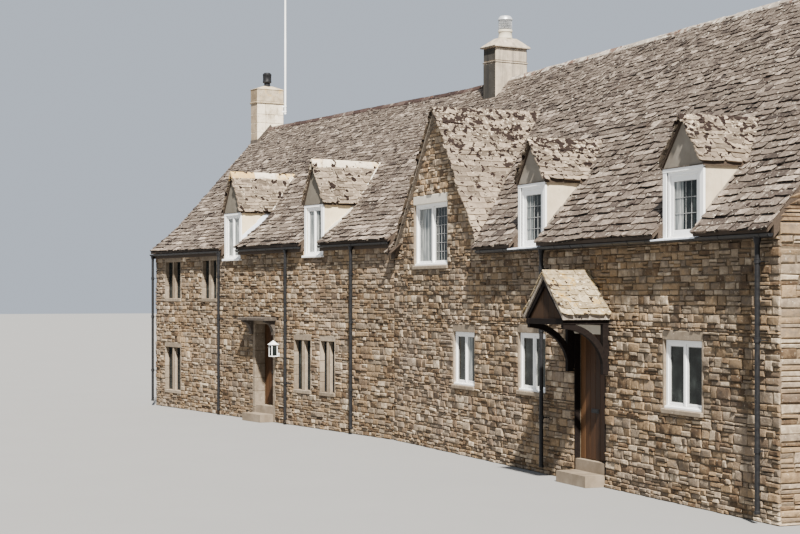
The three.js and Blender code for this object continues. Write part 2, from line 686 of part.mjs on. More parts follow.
// The origin moves to the middle of the box, on the ground
building.updateMatrixWorld(true);
const bounds = new THREE.Box3().setFromObject(building, true);
const centre = bounds.getCenter(new THREE.Vector3());
building.position.set(-centre.x, -centre.y, -bounds.min.z);
building.updateMatrixWorld(true);

export default building;
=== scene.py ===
"""Looks of a range of two stone cottages with stone-slate roofs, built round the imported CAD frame.

Metres. Each range has its own local frame, as in the part's source: x along its front, y into the
building and z up, from the foot of the front wall at the bend.
"""
import math
import random
from itertools import product

import bmesh
import bpy
from mathutils import Matrix, Vector


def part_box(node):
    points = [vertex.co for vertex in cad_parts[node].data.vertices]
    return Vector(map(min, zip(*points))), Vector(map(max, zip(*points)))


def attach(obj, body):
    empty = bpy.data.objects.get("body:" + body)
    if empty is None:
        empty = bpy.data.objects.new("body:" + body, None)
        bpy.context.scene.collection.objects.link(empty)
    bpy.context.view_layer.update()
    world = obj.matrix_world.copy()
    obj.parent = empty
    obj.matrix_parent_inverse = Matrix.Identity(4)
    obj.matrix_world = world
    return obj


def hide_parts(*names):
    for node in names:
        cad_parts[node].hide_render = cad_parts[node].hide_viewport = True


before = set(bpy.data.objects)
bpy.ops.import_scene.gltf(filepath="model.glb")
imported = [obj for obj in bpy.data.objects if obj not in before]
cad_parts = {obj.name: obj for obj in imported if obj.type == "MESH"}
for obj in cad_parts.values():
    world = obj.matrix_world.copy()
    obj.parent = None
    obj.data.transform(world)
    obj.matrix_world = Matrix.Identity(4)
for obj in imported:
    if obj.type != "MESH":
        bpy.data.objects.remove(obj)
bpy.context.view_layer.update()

# Plan and levels
BEND = math.radians(9.56)
MITRE = math.tan(BEND / 2)
RIGHT_LENGTH = 13.2
LEFT_LENGTH = 12.18
DEPTH = 6.28
HALF = DEPTH / 2
FLOOR_TOP = 0.35
ROOF_DROP = 0.225
SLATE_EDGE = 0.05
FASCIA_Y = -0.09
VERGE = 0.03
ROOFS = {
    "left": [(-0.15, 4.01), (0.6, 4.62), (HALF, 7.38)],
    "right": [(-0.18, 3.73), (HALF, 7.49)],
}
GABLE_X, GABLE_HALF, GABLE_FOOT, GABLE_APEX, GABLE_FRONT = 2.18, 2.08, 3.73, 6.37, -0.08
GABLE_SLOPE = (GABLE_APEX - GABLE_FOOT) / GABLE_HALF

# Dormers: range, centre, width, levels of sill, window head, cheek top and ridge
DORMERS = {
    "dormer_1": ("left", -7.51, 0.90, 3.75, 4.79, 4.89, 5.78),
    "dormer_2": ("left", -3.41, 0.86, 3.75, 4.80, 4.90, 5.79),
    "dormer_3": ("right", 6.19, 1.00, 3.66, 4.68, 4.76, 5.45),
    "dormer_4": ("right", 10.915, 1.05, 3.66, 4.61, 4.69, 5.36),
}
CHEEK = 0.09
DORMER_DROP = 0.05
DORMER_EAVES = 0.035
DORMER_VERGE = 0.03

# Windows: x0, x1, sill, head
WHITE_WINDOWS = {
    "gable_window": (1.05, 2.67, 3.45, 4.63),
    "ground_window_1": (2.96, 3.89, 1.26, 2.23),
    "ground_window_2": (5.69, 6.69, 1.30, 2.27),
    "ground_window_3": (10.40, 11.40, 1.30, 2.27),
}
MULLION_WINDOWS = {
    "upper_glass_1": (-11.55, -10.59, 2.80, 3.74),
    "upper_glass_2": (-9.24, -8.42, 2.80, 3.74),
    "ground_glass_1": (-11.55, -10.59, 0.45, 1.55),
    "ground_glass_2": (-4.31, -3.56, 0.80, 1.90),
    "ground_glass_3": (-3.10, -2.48, 0.80, 1.90),
}
BACK_WINDOWS = {
    "back_glass_left_ground": ("left", (-8.0, -6.0, 1.00, 2.10), 4),
    "back_glass_left_upper": ("left", (-7.7, -6.3, 2.90, 3.68), 3),
    "back_glass_right_ground": ("right", (5.5, 7.5, 1.00, 2.10), 4),
    "back_glass_right_upper": ("right", (5.8, 7.2, 2.85, 3.48), 3),
}
FRAME_BACK = 0.03
FRAME_DEPTH = 0.12
FRAME_BAR = 0.055
MULLION = 0.11
MULLION_DEPTH = 0.105
LINTEL = 0.13
JAMB = 0.045
SILL = 0.08

# Doors: x0, x1, head, how far the leaf stands back
LEFT_DOOR = (-6.30, -5.37, 2.23, 0.25)
RIGHT_DOOR = (7.72, 8.68, 2.30, 0.09)
LEAF = 0.05
LEAF_CLEAR = 0.008
HOOD = (-6.58, -5.17, 2.38, 0.07, 0.33)
PORCH_X, PORCH_HALF, PORCH_OUT, PORCH_TIP, PORCH_APEX, PORCH_DROP = 8.22, 0.66, 0.82, 2.60, 3.23, 0.075
PORCH_FALL = (PORCH_APEX - PORCH_TIP) / PORCH_HALF
POST = 0.09

# Stacks: x0, x1, half depth, top of the stack, top of the cap
STACK_LEFT = (-12.18, -11.79, 0.385, 8.06, 8.46)
STACK_MIDDLE = (-0.91, -0.43, 0.405, 8.12, 8.25)
STACK_FOOT = 6.2
FLAUNCH = 0.09

GUTTER = 0.05
PIPE = 0.034
GUTTERS = {
    "gutter_left_1": ("left", -12.20, -7.99, (-12.12, -8.04)),
    "gutter_left_2": ("left", -7.03, -3.87, (-4.53,)),
    "gutter_left_3": ("left", -2.95, -0.06, (-1.56,)),
    "gutter_right": ("right", 4.29, 13.2, (6.79, 12.9)),
}

PARTY_LOW, PARTY_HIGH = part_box("right_party_wall")
PIVOT = Matrix.Translation((PARTY_HIGH.x - RIGHT_LENGTH, PARTY_LOW.y, 0))
FRAMES = {"right": PIVOT, "left": PIVOT @ Matrix.Rotation(BEND, 4, "Z")}

# Camera, in the right range's frame, and light
EYE = (30.63, -12.0, 2.90)
EYE_TURN = 68.43
LENS = 74.19
LENS_SHIFT = 0.0345
SUN_FROM = (0.62, -0.17, 0.77)
SUN_POWER = 19.0
SUN_COLOUR = (1.0, 0.955, 0.88)
SKY_COLOUR = (0.78, 0.87, 1.0, 1)
SKY_POWER = 0.72


# Materials

class Paint:
    """A material under construction."""

    def __init__(self, name):
        self.material = bpy.data.materials.new(name)
        self.material.use_nodes = True
        self.nodes = self.material.node_tree.nodes
        self.links = self.material.node_tree.links
        self.shader = self.nodes["Principled BSDF"]
        self.place = self.add("TexCoord").outputs["Object"]

    def add(self, kind, inputs=(), **settings):
        node = self.nodes.new("ShaderNode" + kind)
        for key, value in settings.items():
            setattr(node, key, value)
        for key, value in dict(inputs).items():
            self.feed(node.inputs[key], value)
        return node

    def feed(self, socket, value):
        if isinstance(value, bpy.types.NodeSocket):
            self.links.new(value, socket)
        else:
            socket.default_value = value

    def noise(self, scale, detail, stretch=None, rough=0.6):
        where = self.place
        if stretch:
            where = self.add("Mapping", {"Vector": where, "Scale": stretch}).outputs[0]
        inputs = {"Vector": where, "Scale": scale, "Detail": detail, "Roughness": rough}
        return self.add("TexNoise", inputs).outputs[0]

    def math(self, operation, first, second):
        return self.add("Math", {0: first, 1: second}, operation=operation).outputs[0]

    def between(self, value, low, high, start=0.0, end=1.0):
        inputs = {"Value": value, "From Min": low, "From Max": high, "To Min": start, "To Max": end}
        return self.add("MapRange", inputs).outputs[0]

    def ramp(self, factor, stops):
        node = self.add("ValToRGB", {"Fac": factor})
        elements = node.color_ramp.elements
        step = 1 / (len(stops) - 1)
        for i, colour in enumerate(stops):
            if i == 0 or i == len(stops) - 1:
                element = elements[0 if i == 0 else -1]
            else:
                element = elements.new(i * step)
            element.color = (*colour, 1)
        return node.outputs["Color"]

    def facing_front(self):
        """1 on faces that look towards the road, 0 on the others: the mask of the painted shade on fronts.
        """
        normal = self.add("TexCoord").outputs["Normal"]
        across = self.add("SeparateXYZ", {"Vector": normal}).outputs["Y"]
        return self.between(across, -0.9, -0.6, 1.0, 0.0)

    def mix(self, factor, first, second, blend="MIX"):
        node = self.add("Mix", data_type="RGBA", blend_type=blend)
        for index, value in ((0, factor), (6, first), (7, second)):
            self.feed(node.inputs[index], value)
        return node.outputs[2]


NOISE_REACH = (0.3, 0.7)  # where most values of a noise lie
BLOT_DEFAULTS = [7.0, None]  # detail and stretch


def finish(name, stops, grain, share, blots=(), rough=(0.82, 0.97), relief=0.004, stretch=None,
           metallic=0.0, patch=0.0, front=None, gloss=0.2, rising=None, levels=None):
    """A natural surface: a tone for each stone or board, grain, blots of growth or dirt, and relief.

    blots are (scale, low, high, colour, detail, stretch): the growth shows where its noise rises from
    low to high. rising is (z0, z1, gain): there is more growth towards z1. levels is (z0, z1, low, high):
    the tone is multiplied by low at z0 and by high at z1. front darkens the faces that look towards the
    road, as painted shade.
    """
    paint = Paint(name)
    tone = paint.add("Attribute", attribute_name="tone").outputs["Fac"]
    grainy = paint.noise(grain, 8.0, stretch)
    spread = paint.between(grainy, *NOISE_REACH)
    own = paint.math("MULTIPLY", tone, share)
    value = paint.math("ADD", own, paint.math("MULTIPLY", spread, 1 - share))
    colour = paint.ramp(value, stops)
    if patch:
        wide = paint.between(paint.noise(0.45, 3.0), 0.35, 0.65, 1 - patch, 1 + patch)
        colour = paint.mix(1.0, colour, wide, "MULTIPLY")
    level = paint.add("SeparateXYZ", {"Vector": paint.place}).outputs["Z"] if rising or levels else None
    if levels:
        colour = paint.mix(1.0, colour, paint.between(level, *levels), "MULTIPLY")
    if rising:
        height_gain = paint.between(level, rising[0], rising[1], 0.0, rising[2])
    for scale, low, high, growth, *more in blots:
        detail, pull = more + BLOT_DEFAULTS[len(more):]
        spots = paint.noise(scale, detail, pull, 0.65)
        if rising:
            spots = paint.math("ADD", spots, height_gain)
        colour = paint.mix(paint.between(spots, low, high), colour, (*growth, 1))
    # front paints shade on the faces that look towards the road.
    if front:
        dark = paint.mix(1.0, colour, (*front, 1), "MULTIPLY")
        colour = paint.mix(paint.facing_front(), colour, dark)
    paint.feed(paint.shader.inputs["Base Color"], colour)
    paint.feed(paint.shader.inputs["Roughness"], paint.between(grainy, *NOISE_REACH, *rough))
    paint.shader.inputs["Metallic"].default_value = metallic
    paint.shader.inputs["Specular IOR Level"].default_value = gloss
    fine = paint.noise(grain * 5, 6.0, stretch)
    height = paint.math("ADD", grainy, paint.math("MULTIPLY", fine, 0.5))
    bump = paint.add("Bump", {"Height": height, "Strength": 0.7, "Distance": relief})
    paint.feed(paint.shader.inputs["Normal"], bump.outputs["Normal"])
    return paint.material


MOSS = (0.012, 0.0065, 0.0045)
HALO = (0.36, 0.30, 0.225)
LICHEN = (0.46, 0.41, 0.335)
RUST = (0.12, 0.058, 0.034)
# The darkest stops of the slate ramps also colour the slate edges painted in shade.
SLATE_STOPS = [(0.009, 0.0068, 0.0055), (0.043, 0.032, 0.026), (0.104, 0.081, 0.064), (0.060, 0.046, 0.036),
               (0.136, 0.107, 0.086), (0.33, 0.267, 0.215)]
BUFF_STOPS = [(0.036, 0.027, 0.019), (0.104, 0.080, 0.058), (0.168, 0.130, 0.095), (0.31, 0.242, 0.175)]
RUBBLE_STOPS = [(0.024, 0.015, 0.010), (0.092, 0.058, 0.032), (0.212, 0.145, 0.082), (0.118, 0.090, 0.065),
                (0.258, 0.197, 0.133), (0.50, 0.415, 0.305)]
ASHLAR_STOPS = [(0.51, 0.425, 0.31), (0.68, 0.585, 0.45), (0.76, 0.67, 0.535)]
PALE_STOPS = [(0.54, 0.49, 0.405), (0.67, 0.615, 0.515)]
CAP_STOPS = [(0.21, 0.165, 0.11), (0.38, 0.31, 0.215), (0.51, 0.44, 0.33)]
YELLOW_STOPS = [(0.09, 0.066, 0.038), (0.22, 0.17, 0.10), (0.44, 0.365, 0.24)]
MOSSY_RIDGE_STOPS = [(0.012, 0.0065, 0.0055), (0.032, 0.018, 0.0145), (0.075, 0.052, 0.043)]
GREY_RIDGE_STOPS = [(0.15, 0.127, 0.105), (0.24, 0.208, 0.173), (0.40, 0.352, 0.295)]
BEDDING_STOPS = [(0.11, 0.090, 0.072), (0.26, 0.222, 0.18)]
GREY_STOPS = [(0.115, 0.088, 0.060), (0.185, 0.146, 0.105), (0.27, 0.22, 0.165)]


def glass_material(name, stops, stretch=None, transmission=0.25):
    paint = Paint(name)
    ripple = paint.noise(3.5, 3.0, stretch)
    tint = paint.ramp(paint.between(ripple, *NOISE_REACH), stops)
    paint.feed(paint.shader.inputs["Base Color"], tint)
    paint.feed(paint.shader.inputs["Roughness"], paint.between(ripple, *NOISE_REACH, 0.04, 0.12))
    paint.shader.inputs["Transmission Weight"].default_value = transmission
    paint.shader.inputs["IOR"].default_value = 1.3
    paint.shader.inputs["Specular IOR Level"].default_value = 0.15
    bump = paint.add("Bump", {"Height": ripple, "Strength": 0.3, "Distance": 0.004})
    paint.feed(paint.shader.inputs["Normal"], bump.outputs["Normal"])
    return paint.material


def roof_looks():
    growth = [(2.6, 0.575, 0.70, (0.045, 0.032, 0.024)), (7.0, 0.595, 0.635, MOSS),
              (17.0, 0.60, 0.67, LICHEN), (34.0, 0.635, 0.70, (0.50, 0.44, 0.36))]
    mossy = [(17.0, 0.65, 0.70, (0.46, 0.385, 0.29)), (9.5, 0.613, 0.624, HALO, 1.0),
             (9.5, 0.624, 0.636, MOSS, 1.0), (4.2, 0.650, 0.662, MOSS, 4.0)]
    buff = [(18.0, 0.60, 0.66, (0.42, 0.355, 0.265)), (5.6, 0.598, 0.612, HALO, 1.0),
            (5.6, 0.616, 0.628, MOSS, 1.0)]
    yellow = [(6.0, 0.56, 0.62, (0.30, 0.20, 0.075), 3.0), (9.0, 0.60, 0.62, MOSS, 3.0),
              (13.0, 0.60, 0.64, (0.55, 0.48, 0.36))]
    return dict(
        slate=finish("stone_slates", SLATE_STOPS, 16.0, 0.78, growth, relief=0.010, patch=0.08,
                     levels=(4.3, 5.6, 1.20, 1.0)),
        mossy_slate=finish("mossy_slates", BUFF_STOPS, 14.0, 0.66, mossy, relief=0.010, patch=0.1,
                           rising=(4.6, 6.2, 0.085), levels=(4.2, 5.9, 1.28, 1.0)),
        dormer_slate=finish("mossy_dormer_slates", BUFF_STOPS, 14.0, 0.66, mossy, relief=0.010, patch=0.1,
                            rising=(4.75, 5.35, 0.095)),
        buff_slate=finish("buff_slates", BUFF_STOPS, 14.0, 0.66, buff, relief=0.008, patch=0.1),
        porch_slate=finish("yellow_slates", YELLOW_STOPS, 14.0, 0.5, yellow, relief=0.010, patch=0.1),
        slate_edge=finish("bedding_mortar", BEDDING_STOPS, 16.0, 0.0, growth[1:3], (0.85, 0.97), 0.006),
    )


def ridge_looks():
    mossy = [(6.0, 0.64, 0.70, RUST), (4.0, 0.585, 0.62, (0.15, 0.125, 0.10)),
             (9.0, 0.63, 0.67, (0.30, 0.26, 0.21))]
    grey = [(3.0, 0.53, 0.57, (0.105, 0.060, 0.043)), (8.0, 0.56, 0.60, LICHEN),
            (0.9, 0.66, 0.68, (0.40, 0.21, 0.065))]
    pale = [(1.1, 0.54, 0.62, (0.50, 0.33, 0.12)), (15.0, 0.58, 0.64, (0.27, 0.215, 0.155)),
            (7.0, 0.575, 0.595, MOSS, 2.0)]
    orange = [(7.0, 0.58, 0.61, (0.74, 0.65, 0.52)), (5.0, 0.60, 0.62, MOSS, 2.0)]
    return dict(
        ridge=finish("mossy_ridge", MOSSY_RIDGE_STOPS, 8.0, 0.7, mossy, (0.85, 0.97), 0.014),
        grey_ridge=finish("weathered_ridge", GREY_RIDGE_STOPS, 9.0, 0.5, grey, (0.85, 0.97), 0.012),
        pale_ridge=finish("lichened_ridge", [(0.50, 0.42, 0.32), (0.74, 0.65, 0.52)], 9.0, 0.4, pale,
                          (0.82, 0.95), 0.006),
        orange_ridge=finish("orange_lichened_ridge", [(0.38, 0.225, 0.075), (0.56, 0.40, 0.19)], 9.0, 0.4,
                            orange, (0.82, 0.95), 0.006),
    )


def stone_looks():
    growth = [(2.2, 0.56, 0.80, (0.085, 0.062, 0.040)), (26.0, 0.62, 0.68, (0.42, 0.36, 0.27))]
    washed = (0.55, 0.50, 0.95, (0.215, 0.168, 0.132), 3.0)
    weathered = [(3.0, 0.50, 0.72, (0.40, 0.325, 0.225)),
                 (5.5, 0.57, 0.68, (0.30, 0.25, 0.185), 7.0, (1.0, 1.0, 0.5)),
                 (22.0, 0.61, 0.67, (0.24, 0.19, 0.13))]
    rusty = [(5.0, 0.58, 0.66, (0.42, 0.30, 0.14)), (13.0, 0.62, 0.68, (0.16, 0.13, 0.10))]
    # The hood stone is dark with weathering, and darker still as painted shade.
    hood = [(0.036, 0.029, 0.023), (0.092, 0.075, 0.061)]
    mortar = [(0.050, 0.036, 0.023), (0.125, 0.096, 0.062)]
    return dict(
        # levels makes the rubble lighter from 3.7 m up, most from 4.3 m up into the gables: painted light.
        rubble=finish("rubble", RUBBLE_STOPS, 11.0, 0.74, [washed, *growth], (0.82, 0.96), 0.024,
                      patch=0.26, levels=(3.7, 4.3, 1.06, 1.45)),
        mortar=finish("mortar_and_limewash", mortar, 20.0, 0.0, rough=(0.8, 0.95)),
        dressed=finish("dressed_stone", GREY_STOPS, 11.0, 0.45, growth, (0.78, 0.93), patch=0.12),
        flags=finish("floor_flags", GREY_STOPS, 3.0, 0.2, (), (0.7, 0.9), 0.002),
        # front on the pale lintels, the ashlar stack and the chimney cap paints shade on the faces that
        # look towards the road.
        pale_stone=finish("pale_lintels", PALE_STOPS, 12.0, 0.4, [(20.0, 0.62, 0.70, (0.42, 0.37, 0.29))],
                          (0.8, 0.93), 0.003, front=(0.86, 0.86, 0.86)),
        dark_stone=finish("weathered_hood_and_painted_shade", hood, 12.0, 0.4, [(14.0, 0.60, 0.68, (0.26, 0.225, 0.185))],
                          (0.8, 0.95), 0.005),
        ashlar=finish("pale_ashlar", ASHLAR_STOPS, 10.0, 0.5, weathered, (0.78, 0.93), 0.003, patch=0.08,
                      front=(0.42, 0.38, 0.34)),
        cap_stone=finish("chimney_cap", CAP_STOPS, 7.0, 0.3, rusty, (0.8, 0.95), 0.006,
                         front=(0.50, 0.46, 0.42)),
        clay=finish("pale_clay", [(0.40, 0.35, 0.26), (0.54, 0.49, 0.39)], 8.0, 0.3,
                    [(6.0, 0.62, 0.76, (0.22, 0.185, 0.14), 7.0, (1.0, 1.0, 0.4))], (0.6, 0.8), 0.001),
    )


def render_looks():
    """Lime render and cement, darker on the faces that look towards the road: painted shade on the dormer
    fronts, and a much darker front on the cement stack.
    """
    drips = [(1.6, 0.55, 0.75, (0.33, 0.272, 0.20), 7.0, (3.0, 3.0, 0.35)),
             (9.0, 0.64, 0.74, (0.26, 0.22, 0.165))]
    streaks = [(2.2, 0.50, 0.66, (0.20, 0.172, 0.14), 7.0, (5.0, 5.0, 0.22)),
               (11.0, 0.62, 0.72, (0.52, 0.47, 0.39))]
    return dict(
        render=finish("lime_render", [(0.42, 0.345, 0.24), (0.55, 0.465, 0.335)], 5.0, 0.0, drips,
                      (0.82, 0.94), front=(0.39, 0.41, 0.47)),
        pale_render=finish("pale_render", [(0.60, 0.49, 0.31), (0.78, 0.655, 0.435)], 5.0, 0.0, drips[1:],
                           (0.82, 0.94), front=(0.175, 0.185, 0.225)),
        cement=finish("streaked_cement", [(0.27, 0.222, 0.165), (0.43, 0.358, 0.275)], 7.0, 0.0, streaks,
                      (0.82, 0.95), patch=0.1, front=(0.115, 0.125, 0.14)),
    )


def timber_looks():
    door = [(0.012, 0.006, 0.0035), (0.050, 0.024, 0.011), (0.110, 0.056, 0.026)]
    worn = [(2.0, 0.66, 0.8, (0.16, 0.10, 0.055), 7.0, (6.0, 6.0, 1.0))]
    return dict(
        white=finish("white_paint", [(0.82, 0.82, 0.80), (0.89, 0.89, 0.87)], 6.0, 0.2,
                     [(14.0, 0.68, 0.80, (0.36, 0.33, 0.28))], (0.34, 0.5), 0.0006, gloss=0.5),
        oak=finish("brown_door_boards", door, 3.0, 0.66, worn, (0.45, 0.65), 0.0012, (22.0, 22.0, 1.2),
                   gloss=0.12),
        gable_boards=finish("brown_gable_boards", [(0.018, 0.010, 0.006), (0.046, 0.026, 0.014)], 3.0, 0.6,
                            (), (0.6, 0.8), 0.0012, (18.0, 18.0, 1.2), gloss=0.1),
        tarred=finish("dark_timber", [(0.004, 0.003, 0.003), (0.014, 0.010, 0.008)], 4.0, 0.4,
                      [(5.0, 0.64, 0.78, (0.035, 0.027, 0.022))], (0.6, 0.82), 0.0015, (9.0, 9.0, 9.0),
                      gloss=0.06),
        # A fascia's brown, also painted on the dormer roofs' slab edges as shade.
        fascia_and_edge_shade=finish("brown_fascia_and_edge_shade", [(0.030, 0.021, 0.015), (0.075, 0.053, 0.037)], 5.0, 0.3, (),
                      (0.6, 0.85), 0.002, (1.0, 12.0, 12.0)),
        boards=finish("floor_boards", [(0.14, 0.085, 0.045), (0.23, 0.15, 0.085)], 3.0, 0.3, (),
                      (0.5, 0.7), 0.001, (1.0, 16.0, 16.0)),
    )


def metal_and_glass_looks():
    dark_panes = [(0.006, 0.008, 0.008), (0.018, 0.022, 0.021), (0.045, 0.054, 0.050)]
    curtain_and_reflection_stops = [(0.07, 0.08, 0.08), (0.20, 0.215, 0.21), (0.50, 0.50, 0.47)]
    return dict(
        lead=finish("lead_flashing", [(0.60, 0.66, 0.75), (0.82, 0.86, 0.93)], 7.0, 0.2,
                    [(2.5, 0.60, 0.80, (0.34, 0.36, 0.40))], (0.5, 0.7), 0.002, gloss=0.4),
        iron=finish("black_iron", [(0.006, 0.006, 0.007), (0.017, 0.017, 0.018)], 18.0, 0.3,
                    [(7.0, 0.68, 0.8, (0.05, 0.040, 0.033))], (0.35, 0.55), 0.0006),
        cames=finish("lead_cames", [(0.25, 0.25, 0.245), (0.38, 0.38, 0.37)], 20.0, 0.3, (), (0.4, 0.6),
                     0.0004, metallic=0.2),
        metal=finish("pale_metal", [(0.48, 0.49, 0.50), (0.62, 0.63, 0.63)], 12.0, 0.3,
                     [(5.0, 0.66, 0.8, (0.30, 0.29, 0.27))], (0.3, 0.5), 0.0004, metallic=0.5),
        glass=glass_material("leaded_glass", dark_panes),
        # A pale sheet: a curtain, and on the first two dormers' windows a painted reflection.
        curtained=glass_material("curtain_and_reflection_glass", curtain_and_reflection_stops, (5.0, 5.0, 0.5), 0.0),
    )


MATERIALS = {**roof_looks(), **ridge_looks(), **stone_looks(), **render_looks(), **timber_looks(),
             **metal_and_glass_looks()}


# Forms

# The tone of faces painted in shade, lower than any random tone
DARKEST = -0.5

# Looks of each material slot, for pieces that name no slot
SLOTS = {
    "dressed_stone": ("dressed", "ashlar", "cap_stone", "cement", "dark_stone", "pale_stone"),
    "rubble_stone": ("rubble",),
    "stone_slate": ("slate", "mossy_slate", "dormer_slate", "buff_slate", "porch_slate", "ridge",
                    "grey_ridge", "pale_ridge", "orange_ridge"),
    "clay": ("clay",),
    "white_timber": ("white",),
    "dark_timber": ("tarred", "gable_boards"),
    "door_timber": ("oak",),
    "black_iron": ("iron", "cames"),
    "pale_metal": ("metal", "lead"),
    "window_glass": ("glass", "curtained"),
}
USUAL_SLOT = {look: slot for slot, looks in SLOTS.items() for look in looks}


class Mass:
    """Closed forms that become one mesh. Each form has a random tone, which its material reads."""

    def __init__(self, name, side):
        self.name = name
        self.matrix = FRAMES[side]
        self.rng = random.Random(name)
        self.points = []
        self.faces = []
        self.tones = []

    def form(self, points, faces, dark=()):
        """A form with a random tone. The faces at the indices in dark take the darkest one, as painted
        shade.
        """
        first = len(self.points)
        tone = self.rng.random()
        self.points.extend(points)
        self.faces.extend([first + i for i in face] for face in faces)
        self.tones.extend(DARKEST if i in dark else tone for i in range(len(faces)))

    def piece(self, material, slot=None, body="root", replaces=(), crease=32):
        """The mesh, in a material. Its slot, that of its look unless it names another, is worked out but
        not used.
        """
        slot = slot or USUAL_SLOT[material]
        mesh = bpy.data.meshes.new(self.name)
        mesh.from_pydata([self.matrix @ Vector(point) for point in self.points], [], self.faces)
        mesh.attributes.new("tone", "FLOAT", "FACE").data.foreach_set("value", self.tones)
        turned = bmesh.new()
        turned.from_mesh(mesh)
        bmesh.ops.recalc_face_normals(turned, faces=turned.faces)
        turned.to_mesh(mesh)
        turned.free()
        mesh.materials.append(MATERIALS[material])
        mesh.shade_smooth()
        mesh.set_sharp_from_angle(angle=math.radians(crease))
        piece = bpy.data.objects.new(self.name, mesh)
        bpy.context.scene.collection.objects.link(piece)
        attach(piece, body)
        if replaces:
            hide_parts(*replaces)


class Face:
    """A flat face to build on: u across it, v up it, h out of it."""

    def __init__(self, origin, across, up, out):
        self.origin, self.across, self.up, self.out = map(Vector, (origin, across, up, out))

    def at(self, u, v, h):
        return self.origin + self.across * u + self.up * v + self.out * h


def wall_face(y, out=-1):
    return Face((0, y, 0), (1, 0, 0), (0, 0, 1), (0, out, 0))


FRONT, BACK = wall_face(0), wall_face(DEPTH, 1)


class Slope:
    """A roof slope: u along its courses, s up its section from the eaves, h out of it.

    lift(u, s) raises the surface a little, where one roof is fitted to another.
    """

    def __init__(self, line, across, lift=None):
        self.line = [Vector(point) for point in line]
        self.across = Vector(across)
        self.lift = lift
        self.starts = [0.0]
        for low, high in zip(self.line, self.line[1:]):
            self.starts.append(self.starts[-1] + (high - low).length)
        self.length = self.starts[-1]

    def at(self, u, s, h=0.0):
        part = 0
        while part < len(self.line) - 2 and s > self.starts[part + 1]:
            part += 1
        up = (self.line[part + 1] - self.line[part]).normalized()
        out = self.across.cross(up)
        if out.z < 0:
            out = -out
        if self.lift:
            h += self.lift(u, s)
        return self.line[part] + up * (s - self.starts[part]) + self.across * u + out * h


def without(spans, low, high):
    kept = []
    for start, end in spans:
        if high <= start or low >= end:
            kept.append((start, end))
            continue
        if low > start:
            kept.append((start, low))
        if high < end:
            kept.append((high, end))
    return kept


def pinned(u, below, above):
    """A place along a course, kept within the ends of the course at its foot and at its head."""
    return [min(max(u, low), high) for low, high in (below, above)]


SQUARE = ((-1, -1), (1, -1), (1, 1), (-1, 1))


def band(n, first=0):
    """Faces that join the ring of n points that starts at first to the ring after it."""
    return [[first + i, first + (i + 1) % n, first + n + (i + 1) % n, first + n + i] for i in range(n)]


def closed(n):
    """Faces of a form with a ring of n points at its foot and another at its head."""
    return [list(range(n)), list(range(n, 2 * n)), *band(n)]


def circle(n):
    angles = [2 * math.pi * i / n for i in range(n)]
    return [(math.cos(angle), math.sin(angle)) for angle in angles]


def bevelled_faces():
    corners = list(product((-1, 1), repeat=3))
    spot = {(corner, axis): 3 * i + axis for i, corner in enumerate(corners) for axis in range(3)}
    faces = [[spot[corner, axis] for axis in range(3)] for corner in corners]
    for axis in range(3):
        b, c = [other for other in range(3) if other != axis]

        def corner_at(along, across, up):
            signs = [0, 0, 0]
            signs[axis], signs[b], signs[c] = along, across, up
            return tuple(signs)

        for sign in (-1, 1):
            loop = [corner_at(sign, p, q) for p, q in SQUARE]
            faces.append([spot[corner, axis] for corner in loop])
        for p, q in product((-1, 1), repeat=2):
            near, far = corner_at(-1, p, q), corner_at(1, p, q)
            faces.append([spot[near, b], spot[near, c], spot[far, c], spot[far, b]])
    return corners, faces


CORNERS, BLOCK_FACES = bevelled_faces()


def block(mass, low, high, bevel, at=None, rough=0.0):
    """A block with bevelled edges between two corners."""
    middle = [(a + b) / 2 for a, b in zip(low, high)]
    half = [abs(b - a) / 2 for a, b in zip(low, high)]
    inset = min(bevel, 0.45 * min(half))
    points = []
    for corner in CORNERS:
        shake = [mass.rng.uniform(-rough, rough) if rough else 0.0 for _ in range(3)]
        for axis in range(3):
            spot = [middle[i] + shake[i] + corner[i] * (half[i] - (0 if i == axis else inset))
                    for i in range(3)]
            points.append(at(*spot) if at else spot)
    mass.form(points, BLOCK_FACES)


def along_x(y, z, x):
    return (x, y, z)


def along_y(x, z, y):
    return (x, y, z)


def prism(mass, outline, low, high, put):
    points = [put(a, b, level) for level in (low, high) for a, b in outline]
    mass.form(points, closed(len(outline)))


def frustum(mass, x, y, foot, head):
    """A pyramid without its top. foot and head are (half width, half depth, level)."""
    points = [(x + a * wide, y + b * deep, z) for wide, deep, z in (foot, head) for a, b in SQUARE]
    mass.form(points, [[3, 2, 1, 0], [4, 5, 6, 7], *band(4)])


def lathe(mass, profile, x, y, sides):
    """A round form about an upright axis. profile is (radius, level)."""
    points = [(x + radius * c, y + radius * s, z) for radius, z in profile for c, s in circle(sides)]
    last = (len(profile) - 1) * sides
    around = [face for first in range(0, last, sides) for face in band(sides, first)]
    mass.form(points, [list(range(sides)), list(range(last, last + sides)), *around])


def rod(mass, start, end, radius, sides=8):
    start, end = Vector(start), Vector(end)
    turn = (end - start).to_track_quat("Z", "Y").to_matrix()
    round_points = [turn @ Vector((radius * c, radius * s, 0)) for c, s in circle(sides)]
    mass.form([centre + point for centre in (start, end) for point in round_points], closed(sides))


# Rubble

JOINT = 0.006
ARRIS = 0.017
PROUD = (0.005, 0.034)
STONE_FACES = [[3, 2, 1, 0], [8, 9, 10, 11], *band(4), *band(4, 4)]


